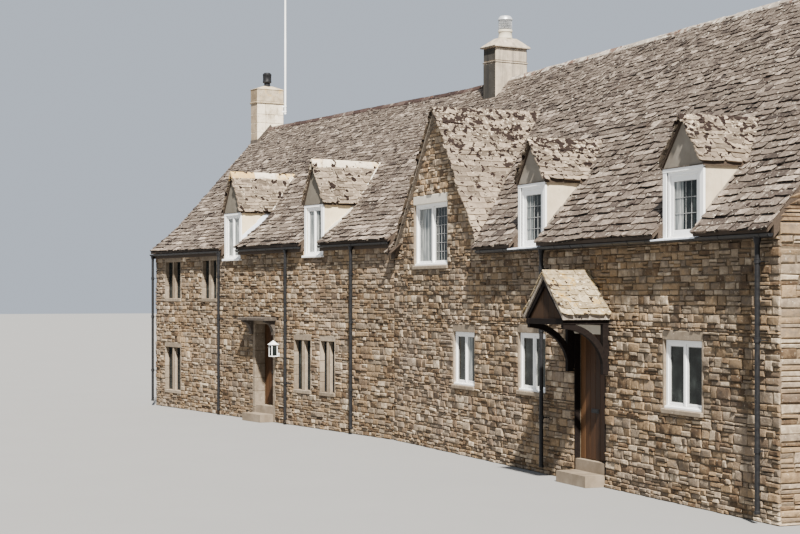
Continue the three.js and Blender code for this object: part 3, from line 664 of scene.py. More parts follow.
def stone(mass, face, left, right, low, high):
    """One stone. left and right are its ends at its foot and at its head."""
    rng = mass.rng
    corners = [(left[0] + JOINT, low + JOINT), (right[0] - JOINT, low + JOINT),
               (right[1] - JOINT, high - JOINT), (left[1] + JOINT, high - JOINT)]
    corners = [(u + rng.uniform(-0.006, 0.006), v + rng.uniform(-0.006, 0.006)) for u, v in corners]
    middle_u = sum(u for u, _ in corners) / 4
    middle_v = sum(v for _, v in corners) / 4
    height = rng.uniform(*PROUD)
    points = []
    for inset, level in ((0.0, -0.02), (0.0, height - ARRIS * 0.6), (ARRIS, height)):
        for u, v in corners:
            du, dv = middle_u - u, middle_v - v
            u += math.copysign(min(inset, 0.4 * abs(du)), du)
            v += math.copysign(min(inset, 0.4 * abs(dv)), dv)
            points.append(face.at(u, v, level + (rng.uniform(-0.007, 0.007) if level > 0 else 0)))
    mass.form(points, STONE_FACES)


def stone_course(mass, face, spans, low, high, length):
    below, above = spans(low + 1e-4), spans(high - 1e-4)
    if len(below) != len(above):
        below = above = spans((low + high) / 2)
    for (a0, b0), (a1, b1) in zip(below, above):
        u, end = min(a0, a1), max(b0, b1)
        while u < end - 0.02:
            reach = u + mass.rng.uniform(*length) * (0.75 + 2.5 * (high - low))
            if end - reach < length[0] * 0.7:
                reach = end
            left, right = (pinned(place, (a0, b0), (a1, b1)) for place in (u, reach))
            if right[0] - left[0] > 0.03 and right[1] - left[1] > 0.02:
                split = high - low > 0.09 and mass.rng.random() < 0.35
                middle = low + (high - low) * mass.rng.uniform(0.38, 0.62)
                for foot, top in ((low, middle), (middle, high)) if split else ((low, high),):
                    stone(mass, face, left, right, foot, top)
            u = reach


def rubble(name, side, face, limits, holes, bottom, top, course=(0.055, 0.150), length=(0.09, 0.29)):
    """Coursed rubble on a face. limits(v) gives the ends of the wall, holes are (u0, u1, v0, v1)."""
    mass = Mass(name, side)

    def spans(v):
        rows = [limits(v)]
        for u0, u1, v0, v1 in holes:
            if v0 <= v <= v1:
                rows = without(rows, u0, u1)
        return [row for row in rows if row[1] - row[0] > 0.02]

    breaks = {v for hole in holes for v in hole[2:] if bottom < v < top}
    levels = sorted({bottom, top, *breaks})
    for low, high in zip(levels, levels[1:]):
        count = max(1, round((high - low) / (sum(course) / 2)))
        shares = [mass.rng.uniform(*course) for _ in range(count)]
        scale = (high - low) / sum(shares)
        v = low
        for share in shares:
            stone_course(mass, face, spans, v, v + share * scale, length)
            v += share * scale
    mass.piece("rubble")


# Slates

OVERHANG = 0.02
WIDTHS = (0.5, 0.7, 0.9, 1.1, 1.35, 1.6)


def slate(mass, slope, left, right, tail, head, thick, verges):
    """One slate with a ragged tail. Its edges are painted dark as shade, but for a few tails and those at a
    verge.
    """
    rng = mass.rng
    nips = rng.uniform(0.004, 0.034), rng.uniform(0.004, 0.034)
    drop = rng.uniform(-0.018, 0.018), rng.uniform(-0.018, 0.018)
    belly = (drop[0] + drop[1]) / 2 + rng.uniform(-0.012, 0.004)
    tilt = rng.uniform(-0.006, 0.006)
    lip = rng.uniform(0.0, 0.35) * thick
    middle = (left[0] + right[0]) / 2
    outline = [
        (left[0] + nips[0], tail + drop[0]), (middle, tail + belly), (right[0] - nips[1], tail + drop[1]),
        (right[0], tail + drop[1] + nips[1]), (right[1], head),
        (left[1], head), (left[0], tail + drop[0] + nips[0]),
    ]
    top, bottom = [], []
    for u, s in outline:
        share = min(max((s - tail) / (head - tail), 0), 1)
        lean = tilt * ((u > middle) - (u < middle))
        sway = 0.006 + 0.006 * math.sin(0.8 * u + 1.9 * s) * math.sin(1.7 * u - 0.6 * s)
        top.append(slope.at(u, s, sway + lean + (thick + lip) * (1 - share) + 0.008 * share + 0.006))
        bottom.append(slope.at(u, s, sway + lean * 0.5 + (0.006 + lip) * (1 - share) - 0.006 * share))
    # Painted shade: most tails with their nips, and the sides that meet other slates, take the darkest
    # tone.
    dark = [2, 3, 4, 8] if rng.random() < 0.72 else []
    dark += ([] if verges[1] else [5]) + ([] if verges[0] else [7])
    mass.form(top + bottom, closed(len(outline)), dark)


def slating(mass, slope, spans, gauge, width, thick, waver, ragged):
    """Courses of slates that diminish from the eaves to the ridge. spans(s) gives where slates lie.

    gauge and width are for the eaves and the ridge, thick is from the thinnest to the thickest. waver is
    how far the tails swing, ragged how far single slates at the ends of a course stand out or back.
    """
    rng = mass.rng
    s = -OVERHANG
    while s < slope.length - 0.02:
        share = max(s, 0) / slope.length
        step = (gauge[0] + (gauge[1] - gauge[0]) * share) * rng.uniform(0.9, 1.1)
        head = min(s + step + 0.05, slope.length)
        below, above = spans(max(s, 0)), spans(head)
        if len(below) != len(above):
            below = above = spans(max(s, 0) + step / 2)
        for (a0, b0), (a1, b1) in zip(below, above):
            u, end = min(a0, a1) - rng.uniform(0.0, 0.25), max(b0, b1)
            while u < end - 0.01:
                usual = width[0] + (width[1] - width[0]) * share
                wide = usual * rng.choice(WIDTHS) * rng.uniform(0.85, 1.15)
                reach = end if end - (u + wide) < 0.07 else u + wide
                left, right = (pinned(place, (a0, b0), (a1, b1)) for place in (u, reach))
                if right[0] - left[0] > 0.03 or right[1] - left[1] > 0.03:
                    verges = (left[0] <= a0, right[0] >= b0)
                    out = [rng.uniform(-ragged, ragged) if verge else 0.0 for verge in verges]
                    swell = math.sin(0.9 * u + 3 * s) + 0.6 * math.sin(2.3 * u - 2 * s)
                    wave = waver * (swell + rng.uniform(-1, 1))
                    left = [value + 0.002 + out[0] for value in left]
                    right = [value - 0.002 + out[1] for value in right]
                    depth = rng.uniform(*thick) * (1 - 0.45 * share)
                    slate(mass, slope, left, right, s + wave, head + wave * 0.6, depth, verges)
                u = reach
        s += step


def read_section(side, value, known):
    """The section of a range's front slope: z at a known y if known is 0, y at a known z if it is 1."""
    profile = ROOFS[side]
    part = 1
    while part < len(profile) - 1 and value > profile[part][known]:
        part += 1
    low, high = profile[part - 1], profile[part]
    share = (value - low[known]) / (high[known] - low[known])
    return low[1 - known] + share * (high[1 - known] - low[1 - known])


def roof_height(side, y):
    return read_section(side, min(y, DEPTH - y), 0)


def roof_reach(side, z):
    """How far in the front slope reaches the height z."""
    return read_section(side, z, 1)


def roof_fall(side):
    (y0, z0), (y1, z1) = ROOFS[side][-2:]
    return (z1 - z0) / (y1 - y0)


def dormer_pitch(width, cheek, ridge):
    return (ridge - DORMER_DROP - cheek) / (width / 2)


RISE_START = -2.2
RISE_RUN = 2.4


def bend_lift(u, s):
    """The upper courses of the left range rise to meet the higher roof of the right one."""
    near = min(max((u - RISE_START) / RISE_RUN, 0.0), 1.0)
    high = min(max((s - 1.0) / 3.6, 0.0), 1.0)
    return 0.078 * near * near * (3 - 2 * near) * high


def main_slope(side, back):
    line = [(0, DEPTH - y if back else y, z) for y, z in ROOFS[side]]
    return Slope(line, (1, 0, 0), bend_lift if side == "left" else None)


def main_spans(side, slope, back):
    """Where the slates of a main slope lie, round the dormers, the central gable and the stacks."""

    def spans(s):
        spot = slope.at(0, s)
        y, z = spot.y, spot.z
        if side == "left":
            rows = [(-LEFT_LENGTH - VERGE - 0.015, y * MITRE)]
            for x0, x1, deep, _, _ in (STACK_LEFT, STACK_MIDDLE):
                if abs(y - HALF) < deep:
                    rows = without(rows, x0, x1)
        else:
            rows = [(-y * MITRE, RIGHT_LENGTH)]
        if back:
            return rows
        if side == "right" and z < GABLE_APEX:
            half = (GABLE_APEX - z) / GABLE_SLOPE - 0.02
            rows = without(rows, GABLE_X - half, GABLE_X + half)
        for range_name, x, width, _, _, cheek, ridge in DORMERS.values():
            if range_name != side or z > ridge:
                continue
            half = width / 2 if z < cheek else (ridge - z) / dormer_pitch(width, cheek, ridge) - 0.015
            rows = without(rows, x - half, x + half)
        return [row for row in rows if row[1] - row[0] > 0.015]

    return spans


def roofs():
    for side in ("left", "right"):
        for back in (False, True):
            mass = Mass(f"slates_{'back' if back else 'front'}_{side}", side)
            slope = main_slope(side, back)
            slating(mass, slope, main_spans(side, slope, back), (0.138, 0.082), (0.28, 0.165),
                    (0.024, 0.044), 0.012, 0.006)
            mass.piece("slate", crease=20)


def small_slopes(x, half, foot, apex):
    return [Slope([(x + sign * half, 0, foot), (x, 0, apex)], (0, 1, 0)) for sign in (-1, 1)]


def small_roof(name, side, x, half, foot, apex, front, gauge, width, material="mossy_slate"):
    """Slates of a small roof that runs back into a main slope, with its ridge along y."""
    mass = Mass(f"slates_{name}", side)
    for slope in small_slopes(x, half, foot, apex):
        slating(mass, slope, lambda s: [(front, roof_reach(side, slope.at(0, s).z) + 0.01)], gauge, width,
                (0.018, 0.034), 0.006, 0.026)
    mass.piece(material, crease=20)


def ridge_stones(mass, start, end, fall, leg, thick, length):
    """Ridge stones: an inverted V over two slopes with the given fall per metre."""
    start, end = Vector(start), Vector(end)
    along = (end - start).normalized()
    across = Vector((along.y, -along.x, 0)).normalized()
    count = max(1, round((end - start).length / length))
    step = (end - start).length / count
    rise = thick * math.sqrt(1 + fall * fall)
    for i in range(count):
        crown = thick * 1.15 + 0.006 + mass.rng.uniform(0.0, 0.010)
        swing = mass.rng.uniform(-0.006, 0.006)
        shoulder = max(0.006, (rise - 0.8 * crown) / fall)
        section = [(-leg, -leg * fall), (-leg, rise - leg * fall), (-shoulder, 0.8 * crown), (0, crown),
                   (shoulder, 0.8 * crown), (leg, rise - leg * fall), (leg, -leg * fall), (0, 0.004)]

        def put(a, b, c):
            return start + along * c + across * (a + swing) + Vector((0, 0, b))

        prism(mass, section, i * step + 0.004, (i + 1) * step - 0.004, put)


# Look and section of the dormers' ridge stones. A section is (leg, thickness, length)
DORMER_RIDGES = {
    "left": ("pale_ridge", (0.085, 0.042, 0.55)),
    "right": ("dormer_slate", (0.055, 0.030, 0.24)),
}


def ridge(name, side, look, runs, fall, section):
    mass = Mass(name, side)
    for start, end in runs:
        ridge_stones(mass, start, end, fall, *section)
    mass.piece(look)


def ridges():
    bend = HALF * MITRE
    level = 7.375
    left_runs = [((-LEFT_LENGTH - VERGE, HALF, level), (STACK_LEFT[0], HALF, level)),
                 ((STACK_LEFT[1], HALF, level), (RISE_START, HALF, level)),
                 ((RISE_START, HALF, level), (STACK_MIDDLE[0], HALF, 7.42))]
    ridge("ridge_stones_left", "left", "ridge", left_runs, roof_fall("left"), (0.085, 0.045, 0.36))
    ridge("ridge_stones_bend", "left", "grey_ridge", [((STACK_MIDDLE[1], HALF, 7.45), (bend, HALF, 7.475))],
          roof_fall("left"), (0.085, 0.045, 0.35))
    ridge("ridge_stones_right", "right", "grey_ridge",
          [((-bend, HALF, 7.470), (RIGHT_LENGTH, HALF, 7.470))],
          roof_fall("right"), (0.090, 0.045, 0.32))
    gable_back = roof_reach("right", GABLE_APEX)
    gable_run = (GABLE_X, GABLE_FRONT - 0.04, GABLE_APEX), (GABLE_X, gable_back, GABLE_APEX)
    ridge("ridge_stones_gable", "right", "mossy_slate", [gable_run], GABLE_SLOPE, (0.070, 0.032, 0.26))
    for name, (side, x, width, _, _, cheek, top) in DORMERS.items():
        fall = dormer_pitch(width, cheek, top)
        look, section = DORMER_RIDGES[side]
        start = Vector((x, -DORMER_VERGE - 0.045, top - 0.005))
        end = Vector((x, roof_reach(side, top), top - 0.005))
        if name == "dormer_1":
            split = start.lerp(end, 0.36)
            ridge(f"ridge_tip_{name}", side, "orange_ridge", [(start, split)], fall, section)
            start = split
        ridge(f"ridge_stones_{name}", side, look, [(start, end)], fall, section)


def small_roofs():
    small_roof("gable", "right", GABLE_X, GABLE_HALF, GABLE_FOOT, GABLE_APEX, GABLE_FRONT - 0.045,
               (0.148, 0.105), (0.32, 0.22))
    for name, (side, x, width, _, _, cheek, ridge) in DORMERS.items():
        half = width / 2 + DORMER_EAVES
        foot = ridge - half * dormer_pitch(width, cheek, ridge)
        look = ("buff_slate", (0.084, 0.070)) if side == "left" else ("dormer_slate", (0.090, 0.074))
        small_roof(name, side, x, half, foot, ridge, -DORMER_VERGE - 0.048, look[1], (0.26, 0.2), look[0])
        if side == "left":
            valleys(name, side, x, half, foot, ridge)
    mass = Mass("slates_porch", "right")
    for slope in small_slopes(PORCH_X, PORCH_HALF, PORCH_TIP, PORCH_APEX):
        slating(mass, slope, lambda s: [(-PORCH_OUT - 0.015, -0.02)], (0.13, 0.11), (0.24, 0.2),
                (0.018, 0.030), 0.006, 0.010)
    start, end = ((PORCH_X, y, PORCH_APEX) for y in (-PORCH_OUT - 0.01, -0.02))
    ridge_stones(mass, start, end, PORCH_FALL, 0.06, 0.03, 0.3)
    mass.piece("porch_slate", crease=20)


def valleys(name, side, x, half, foot, apex):
    """Mortar pointed along the two lines where a dormer's slates meet the main slope."""
    mass = Mass(f"{name}_valleys", side)
    steps = 7
    for sign in (-1, 1):
        line = []
        for i in range(steps + 1):
            share = 1 - i / steps
            z = apex + (foot - apex) * share
            line.append((x + sign * half * share, roof_reach(side, z) - 0.02, z + 0.035))
        for start, end in zip(line, line[1:]):
            rod(mass, start, end, mass.rng.uniform(0.016, 0.026), 6)
    mass.piece("pale_stone", "lime_render")


# Walls

ABOVE = 9  # higher than any wall
DOOR_JAMB = 0.12
WHITE_JAMB = 0.03
WHITE_SILL = 0.07
WALL_TOPS = {side: roof_height(side, 0) - ROOF_DROP - 0.015 for side in ROOFS}


def dressed_hole(opening, jamb=JAMB, lintel=LINTEL, sill=SILL):
    x0, x1, low, high = opening
    return (x0 - jamb, x1 + jamb, low - sill, high + lintel)


def white_lintel(name):
    return 0.16 if name == "gable_window" else LINTEL


def dormer_holes(range_name):
    """A dormer's front stands in the wall from its sill to above the eaves."""
    return [(x - width / 2, x + width / 2, sill - 0.02, ABOVE)
            for side, x, width, sill, *_ in DORMERS.values() if side == range_name]


def right_limits(v):
    if v <= WALL_TOPS["right"]:
        return (0.0, RIGHT_LENGTH + 0.01)
    half = (GABLE_APEX - SLATE_EDGE - v) / GABLE_SLOPE
    return (max(0.0, GABLE_X - half), GABLE_X + half)


def end_limits(side):
    def limits(v):
        y = max(0.0, roof_reach(side, v + 0.06)) if v > roof_height(side, 0) - 0.06 else 0.0
        return (y, DEPTH - y)
    return limits


def walls():
    holes = [dressed_hole(opening) for opening in MULLION_WINDOWS.values()]
    x0, x1, _, _ = LEFT_DOOR
    holes.append((x0 - DOOR_JAMB, x1 + DOOR_JAMB, 0, HOOD[2] + 0.012))
    holes += dormer_holes("left")
    rubble("rubble_front_left", "left", FRONT, lambda v: (-LEFT_LENGTH - 0.01, 0.0), holes, 0.0,
           WALL_TOPS["left"])

    holes = [dressed_hole(opening, WHITE_JAMB, white_lintel(name), WHITE_SILL)
             for name, opening in WHITE_WINDOWS.items()]
    x0, x1, head, _ = RIGHT_DOOR
    holes.append((x0 - 0.02, x1 + 0.02, 0, head + 0.14))
    holes += dormer_holes("right")
    rubble("rubble_front_right", "right", FRONT, right_limits, holes, 0.0, GABLE_APEX - 0.12)

    left_end = Face((-LEFT_LENGTH, 0, 0), (0, 1, 0), (0, 0, 1), (-1, 0, 0))
    rubble("rubble_left_gable", "left", left_end, end_limits("left"), [], 0.0, 7.25)
    right_end = Face((RIGHT_LENGTH, 0, 0), (0, 1, 0), (0, 0, 1), (1, 0, 0))
    rubble("rubble_party_wall", "right", right_end, end_limits("right"), [], 0.0, 7.35, (0.09, 0.17),
           (0.18, 0.45))

    for side, limits in (("left", (-LEFT_LENGTH - 0.01, DEPTH * MITRE)),
                         ("right", (-DEPTH * MITRE, RIGHT_LENGTH + 0.01))):
        holes = [dressed_hole(opening) for place, opening, _ in BACK_WINDOWS.values() if place == side]
        rubble(f"rubble_back_{side}", side, BACK, lambda v: limits, holes, 0.0, WALL_TOPS[side])


# Windows with stone mullions

LEADED = (0.13, 0.165)  # width and height of a pane


def jamb_stones(mass, face, edge, sign, low, high, heights, rest, reaches, back, out, bevel):
    """Stones of one jamb, which reach into the wall by turns. No stone is lower than rest."""
    v, turn = low, 0
    while v < high - 0.01:
        step = min(mass.rng.uniform(*heights), high - v)
        step = high - v if high - v - step < rest else step
        ends = sorted((edge - sign * 0.004, edge + sign * reaches[turn]))
        block(mass, (ends[0], v + 0.003, back), (ends[1], v + step - 0.003, out), bevel, face.at, 0.001)
        turn = 1 - turn
        v += step


def mullion_window(dressed, iron, glass, face, opening, lights):
    """Lintel, sill, jambs and mullions in dressed stone, with leaded lights in iron casements."""
    x0, x1, low, high = opening
    put = face.at
    back, out = -MULLION_DEPTH, 0.016
    block(dressed, (x0 - JAMB, high - 0.004, back + 0.01),
          (x1 + JAMB, high + LINTEL, out), 0.010, put, 0.002)
    block(dressed, (x0 - JAMB + 0.02, low - SILL, back), (x1 + JAMB - 0.02, low + 0.004, 0.035), 0.010, put)
    for sign, edge in ((-1, x0), (1, x1)):
        reaches = (JAMB, JAMB - 0.012) if dressed.rng.random() < 0.5 else (JAMB - 0.012, JAMB)
        jamb_stones(dressed, face, edge, sign, low, high, (0.2, 0.34), 0.12, reaches,
                    back, out - 0.002, 0.007)
    light = (x1 - x0 - (lights - 1) * MULLION) / lights
    for i in range(lights):
        start = x0 + i * (light + MULLION)
        if i:
            left, right = start - MULLION, start
            outline = [(left - 0.004, back), (left - 0.004, -0.02), (left + 0.018, 0.004),
                       (right - 0.018, 0.004), (right + 0.004, -0.02), (right + 0.004, back)]
            prism(dressed, outline, low + 0.003, high - 0.003, lambda a, b, c: put(a, c, b))
        leaded_light(iron, glass, face, (start, start + light, low, high), back + 0.004, 0.022, 0.006)


def bars_between(outer, inner):
    """The four bars of a frame between two rectangles, each as (x0, x1, low, high)."""
    x0, x1, low, high = outer
    a, b, c, d = inner
    return (x0, a, low, high), (b, x1, low, high), (a, b, low, c), (a, b, d, high)


def leaded_light(bars, glass, face, opening, depth, border, came, pane=LEADED, curtain_and_reflection_sheet=None, drawn=0.0):
    """One light: a border, a sheet and a grid of lead cames. depth is where the sheet's face stands.

    drawn is the share of the sheet, from the left, that is pale: a curtain behind the glass, and on the
    first two dormers' windows a painted reflection.
    """
    x0, x1, low, high = opening
    put = face.at
    inner = (x0 + border, x1 - border, low + border, high - border)
    for a, b, c, d in bars_between(opening, inner):
        block(bars, (a, c, depth - 0.012), (b, d, depth + 0.014), 0.003, put)
    cut = inner[0] + (inner[1] - inner[0]) * drawn
    for sheet, a, b in ((curtain_and_reflection_sheet, inner[0] - 0.004, cut), (glass, cut, inner[1] + 0.004)):
        if b - a > 0.01:
            block(sheet, (a, inner[2] - 0.004, depth - 0.004), (b, inner[3] + 0.004, depth), 0.0005, put)
    columns = max(1, round((inner[1] - inner[0]) / pane[0]))
    rows = max(1, round((inner[3] - inner[2]) / pane[1]))
    back = depth - 0.001
    for i in range(1, columns):
        u = inner[0] + (inner[1] - inner[0]) * i / columns
        block(bars, (u - came / 2, inner[2], back), (u + came / 2, inner[3], depth + 0.005), 0.002, put)
    for i in range(1, rows):
        v = inner[2] + (inner[3] - inner[2]) * i / rows
        block(bars, (inner[0], v - came / 2, back), (inner[1], v + came / 2, depth + 0.006), 0.002, put)


def mullion_windows():
    jobs = [(name, "left", FRONT, opening, 2) for name, opening in MULLION_WINDOWS.items()]
    jobs += [(name, side, BACK, opening, lights) for name, (side, opening, lights) in BACK_WINDOWS.items()]
    for name, side, face, opening, lights in jobs:
        plain = name.replace("glass", "window")
        parts = ("stonework", "casements", "panes")
        dressed, iron, glass = (Mass(f"{plain}_{part}", side) for part in parts)
        mullion_window(dressed, iron, glass, face, opening, lights)
        dressed.piece("dressed")
        iron.piece("iron")
        glass.piece("glass", replaces=(name,))


# White windows

PLAIN = (9, 9)  # larger than any light, so it has one pane

# For each light of a window, from the left: its panes, and the share of it with a pale sheet, which is a
# curtain, and on the first two dormers' windows a painted reflection
PANES = {
    "gable_window": (PLAIN, LEADED), "dormer_3_window": ((0.14, 0.21),), "dormer_4_window": ((0.14, 0.21),),
}
CURTAINS_AND_REFLECTIONS = {
    "gable_window": (1.0, 0.0), "ground_window_1": (0.0, 0.55), "dormer_1_window": (1.0, 1.0),
    "dormer_2_window": (1.0, 0.5), "dormer_3_window": (0.42,), "dormer_4_window": (0.38,),
}


def white_window(name, side, x0, x1, front, low, high, lights, edge=0.034, sash=-0.014):
    """A white frame with opening casements and leaded panes.

    front is the y of its outer face, sash how far the casements stand out of it and edge their width.
    """
    face = wall_face(front)
    put = face.at
    parts = ("frame", "cames", "panes", "curtained_panes")
    timber, cames, glass, curtain_and_reflection_sheet = (Mass(f"{name}_{part}", side) for part in parts)
    drawn = CURTAINS_AND_REFLECTIONS.get(name, (0.0,) * lights)
    panes = PANES.get(name, (PLAIN,) * lights)
    bar = FRAME_BAR
    for a, b in ((x0, x0 + bar), (x1 - bar, x1)):
        block(timber, (a, low, -FRAME_DEPTH), (b, high, 0), 0.004, put)
    block(timber, (x0 + bar, high - bar, -FRAME_DEPTH), (x1 - bar, high, 0), 0.004, put)
    block(timber, (x0 + bar, low, -FRAME_DEPTH), (x1 - bar, low + bar, 0), 0.004, put)
    block(timber, (x0, low - 0.002, -FRAME_DEPTH), (x1, low + 0.035, 0.03), 0.006, put)
    width = (x1 - x0 - 2 * bar - (lights - 1) * bar) / lights
    for i in range(lights):
        start = x0 + bar + i * (width + bar)
        if i:
            block(timber, (start - bar, low + bar, -FRAME_DEPTH), (start, high - bar, 0), 0.004, put)
        inner = (start + edge, start + width - edge, low + bar + edge, high - bar - edge)
        for a, b, c, d in bars_between((start, start + width, low + bar, high - bar), inner):
            end = b - 0.002 if b == start + width else b
            block(timber, (a + 0.003, c + 0.003, sash - 0.040), (end, d, sash), 0.005, put)
        leaded_light(cames, glass, face, inner, sash - 0.018, 0.006, 0.007, panes[i], curtain_and_reflection_sheet, drawn[i])
    timber.piece("white", replaces=(name,))
    cames.piece("cames")
    for sheets, look in ((glass, "glass"), (curtain_and_reflection_sheet, "curtained")):
        if sheets.faces:
            sheets.piece(look)


def white_windows():
    for name, (x0, x1, low, high) in WHITE_WINDOWS.items():
        gable = name == "gable_window"
        white_window(name, "right", x0 + 0.002, x1 - 0.002, FRAME_BACK, low + 0.002, high - 0.002, 2,
                     sash=-0.040 if gable else -0.014)
        lintel = Mass(f"{name}_lintel", "right")
        block(lintel, (x0 - WHITE_JAMB, high - 0.003, -0.10),
              (x1 + WHITE_JAMB, high + white_lintel(name), 0.016), 0.008, FRONT.at, 0.001)
        lintel.piece("pale_stone" if gable else "dressed")
        dressed = Mass(f"{name}_sill_and_jambs", "right")
        block(dressed, (x0 - WHITE_JAMB, low - WHITE_SILL, -0.2),
              (x1 + WHITE_JAMB, low + 0.003, 0.045), 0.012, FRONT.at)
        for edge, sign in ((x0, -1), (x1, 1)):
            ends = sorted((edge - sign * 0.004, edge + sign * WHITE_JAMB))
            block(dressed, (ends[0], low, -0.45), (ends[1], high, 0.010), 0.004, FRONT.at)
        dressed.piece("dressed")


# Dormers

def dormer(name, side, x, width, sill, head, cheek):
    """The window, boards, drip and flashing of a dormer's front and cheeks."""
    half = width / 2
    lights, edge = (2, 0.026) if side == "left" else (1, 0.080)
    white_window(f"{name}_window", side, x - half + CHEEK + 0.001, x + half - CHEEK - 0.001, 0.01,
                 sill + 0.001, head - 0.001, lights, edge)
    trim = Mass(f"{name}_boards", side)
    for sign in (-1, 1):
        ends = sorted((x + sign * (half + 0.006), x + sign * (half - CHEEK)))
        block(trim, (ends[0], -0.014, sill - 0.005), (ends[1], 0.02, head + 0.03), 0.004)
    block(trim, (x - half - 0.006, -0.018, head - 0.002), (x + half + 0.006, 0.02, head + 0.05), 0.004)
    if side == "left":
        block(trim, (x - half - 0.02, -0.075, sill - 0.045), (x + half + 0.02, 0.03, sill + 0.002), 0.008)
    trim.piece("white")
    drip = Mass(f"{name}_drip", side)
    block(drip, (x - half - 0.004, -0.026, head + 0.051), (x + half + 0.004, 0.012, head + 0.063), 0.002)
    drip.piece("dark_stone", "pale_metal")
    dormer_flashing(name, side, x, half, sill, cheek)


def dormer_flashing(name, side, x, half, sill, cheek):
    """Fillets where the cheeks meet the slates and, over the eaves on the right, a lead apron."""
    leaded = name == "dormer_1"
    fillet = Mass(f"{name}_fillets", side)
    start = max(0.02, roof_reach(side, sill + 0.02))
    end = roof_reach(side, cheek) - 0.03
    steps = 6
    for sign in (-1, 1):
        wall = x + sign * half
        for i in range(steps):
            y0 = start + (end - start) * i / steps
            y1 = start + (end - start) * (i + 1) / steps + 0.02
            rise = fillet.rng.uniform(0.14, 0.19) if leaded else fillet.rng.uniform(0.080, 0.105)
            outline = [(y0, roof_height(side, y0)), (y1, roof_height(side, y1)),
                       (y1, min(roof_height(side, y1) + rise, cheek - 0.01)),
                       (y0, roof_height(side, y0) + rise)]
            out = (0.006 if leaded else 0.022) + 0.002 * (i % 2)
            prism(fillet, outline, *sorted((wall - sign * 0.01, wall + sign * out)), along_x)
    look = {"dormer_1": "lead", "dormer_2": "pale_stone"}.get(name, "slate_edge")
    fillet.piece(look, "pale_metal" if leaded else "lime_render")
    if side == "right":
        apron = Mass(f"{name}_apron", side)
        edge = -0.195
        for i in range(3):
            a = x - half - 0.05 + (2 * half + 0.10) * i / 3
            outline = [(0.01, 0.012), (edge, -0.012), (edge, -0.03), (edge + 0.02, -0.03), (0.01, -0.004)]
            raised = [(y, sill + z + 0.02 + 0.002 * i) for y, z in outline]
            prism(apron, raised, a, a + (2 * half + 0.10) / 3 + 0.01, along_x)
        apron.piece("lead")


# Chimneys

SLAB_BEVEL = 0.012


def stack_courses(mass, x0, x1, deep, bottom, top, course, joint):
    """Ashlar blocks: each course is two or three blocks across the deep side."""
    rng = mass.rng
    z = bottom
    turn = 0
    while z < top - 0.02:
        step = min(rng.uniform(*course), top - z)
        step = top - z if top - z - step < 0.1 else step
        cuts = [HALF - deep, HALF + (0.12 if turn else -0.14), HALF + deep]
        if turn:
            cuts[1:1] = [HALF - 0.13]
        for y0, y1 in zip(cuts, cuts[1:]):
            out = rng.uniform(0.003, 0.008)
            grow0 = out if y0 == cuts[0] else -joint / 2
            grow1 = out if y1 == cuts[-1] else -joint / 2
            block(mass, (x0 - out, y0 - grow0, z + joint / 2),
                  (x1 + out, y1 + grow1, z + step - joint / 2), 0.007)
        z += step
        turn = 1 - turn


def slabs(mass, x0, x1, deep, rows):
    """Slabs on a stack, as (how far out, foot, top) and a bevel where it isn't the usual one."""
    for out, z0, z1, *own in rows:
        block(mass, (x0 - out, HALF - deep - out, z0), (x1 + out, HALF + deep + out, z1),
              *(own or [SLAB_BEVEL]))


def flaunching(mass, x0, x1, deep, out, z0, z1, share):
    wide, far = (x1 - x0) / 2 + out, deep + out
    frustum(mass, (x0 + x1) / 2, HALF, (wide, far, z0), (wide * share, far * share, z1))


def chimney_left():
    x0, x1, deep, top, cap = STACK_LEFT
    mass = Mass("chimney_left_ashlar", "left")
    stack_courses(mass, x0, x1, deep, STACK_FOOT, top, (0.20, 0.28), 0.006)
    mass.piece("ashlar", replaces=("chimney_left",))
    mass = Mass("chimney_left_cap", "left")
    rows = (0.030, top, top + 0.055), (0.014, top + 0.055, cap - 0.02), (0.024, cap - 0.02, cap)
    slabs(mass, x0, x1, deep, rows)
    flaunching(mass, x0, x1, deep, 0.015, cap, cap + FLAUNCH, 0.32)
    mass.piece("cap_stone")


def chimney_middle():
    x0, x1, deep, top, cap = STACK_MIDDLE
    band_foot = 7.80
    band_top = band_foot + 0.03
    mass = Mass("chimney_middle_cement", "left")
    rows = ((0.004, STACK_FOOT, band_foot, 0.02), (0.012, band_foot, band_top, 0.006),
            (0.0, band_top, top, 0.02), (0.052, top, top + 0.035, 0.010))
    slabs(mass, x0, x1, deep, rows)
    flaunching(mass, x0, x1, deep, 0.045, top + 0.035, cap + FLAUNCH, 0.45)
    mass.piece("cement", replaces=("chimney_middle",))


def chimney_flashings():
    """Raked strips up the sides of both stacks and a level one across each face."""
    lead = Mass("chimney_flashings", "left")
    for x0, x1, deep, _, _ in (STACK_LEFT, STACK_MIDDLE):
        for sign in (-1, 1):
            far = HALF + sign * deep
            corners = (HALF, -0.05), (far, -0.05), (far, 0.12), (HALF, 0.12)
            rake = [(y, roof_height("left", y) + lift) for y, lift in corners]
            for side_x in (x0, x1):
                prism(lead, rake if sign > 0 else rake[::-1], side_x - 0.013, side_x + 0.013, along_x)
            z = roof_height("left", far)
            ends = sorted((far - sign * 0.01, far + sign * 0.013))
            block(lead, (x0 - 0.02, ends[0], z - 0.05), (x1 + 0.02, ends[1], z + 0.12), 0.002)
    lead.piece("dark_stone", "pale_metal")


def black_pot():
    x = (STACK_LEFT[0] + STACK_LEFT[1]) / 2
    foot = STACK_LEFT[4] + FLAUNCH - 0.004
    mass = Mass("black_pot", "left")
    profile = [(0.095, foot), (0.095, foot + 0.02), (0.084, foot + 0.035), (0.082, 8.635), (0.110, 8.645),
               (0.119, 8.655), (0.119, 8.70), (0.115, 8.71), (0.115, 8.83), (0.119, 8.84), (0.120, 8.875),
               (0.108, 8.895), (0.080, 8.918), (0.01, 8.920)]
    lathe(mass, profile, x, HALF, 32)
    mass.piece("iron", replaces=("chimney_pot_left",))


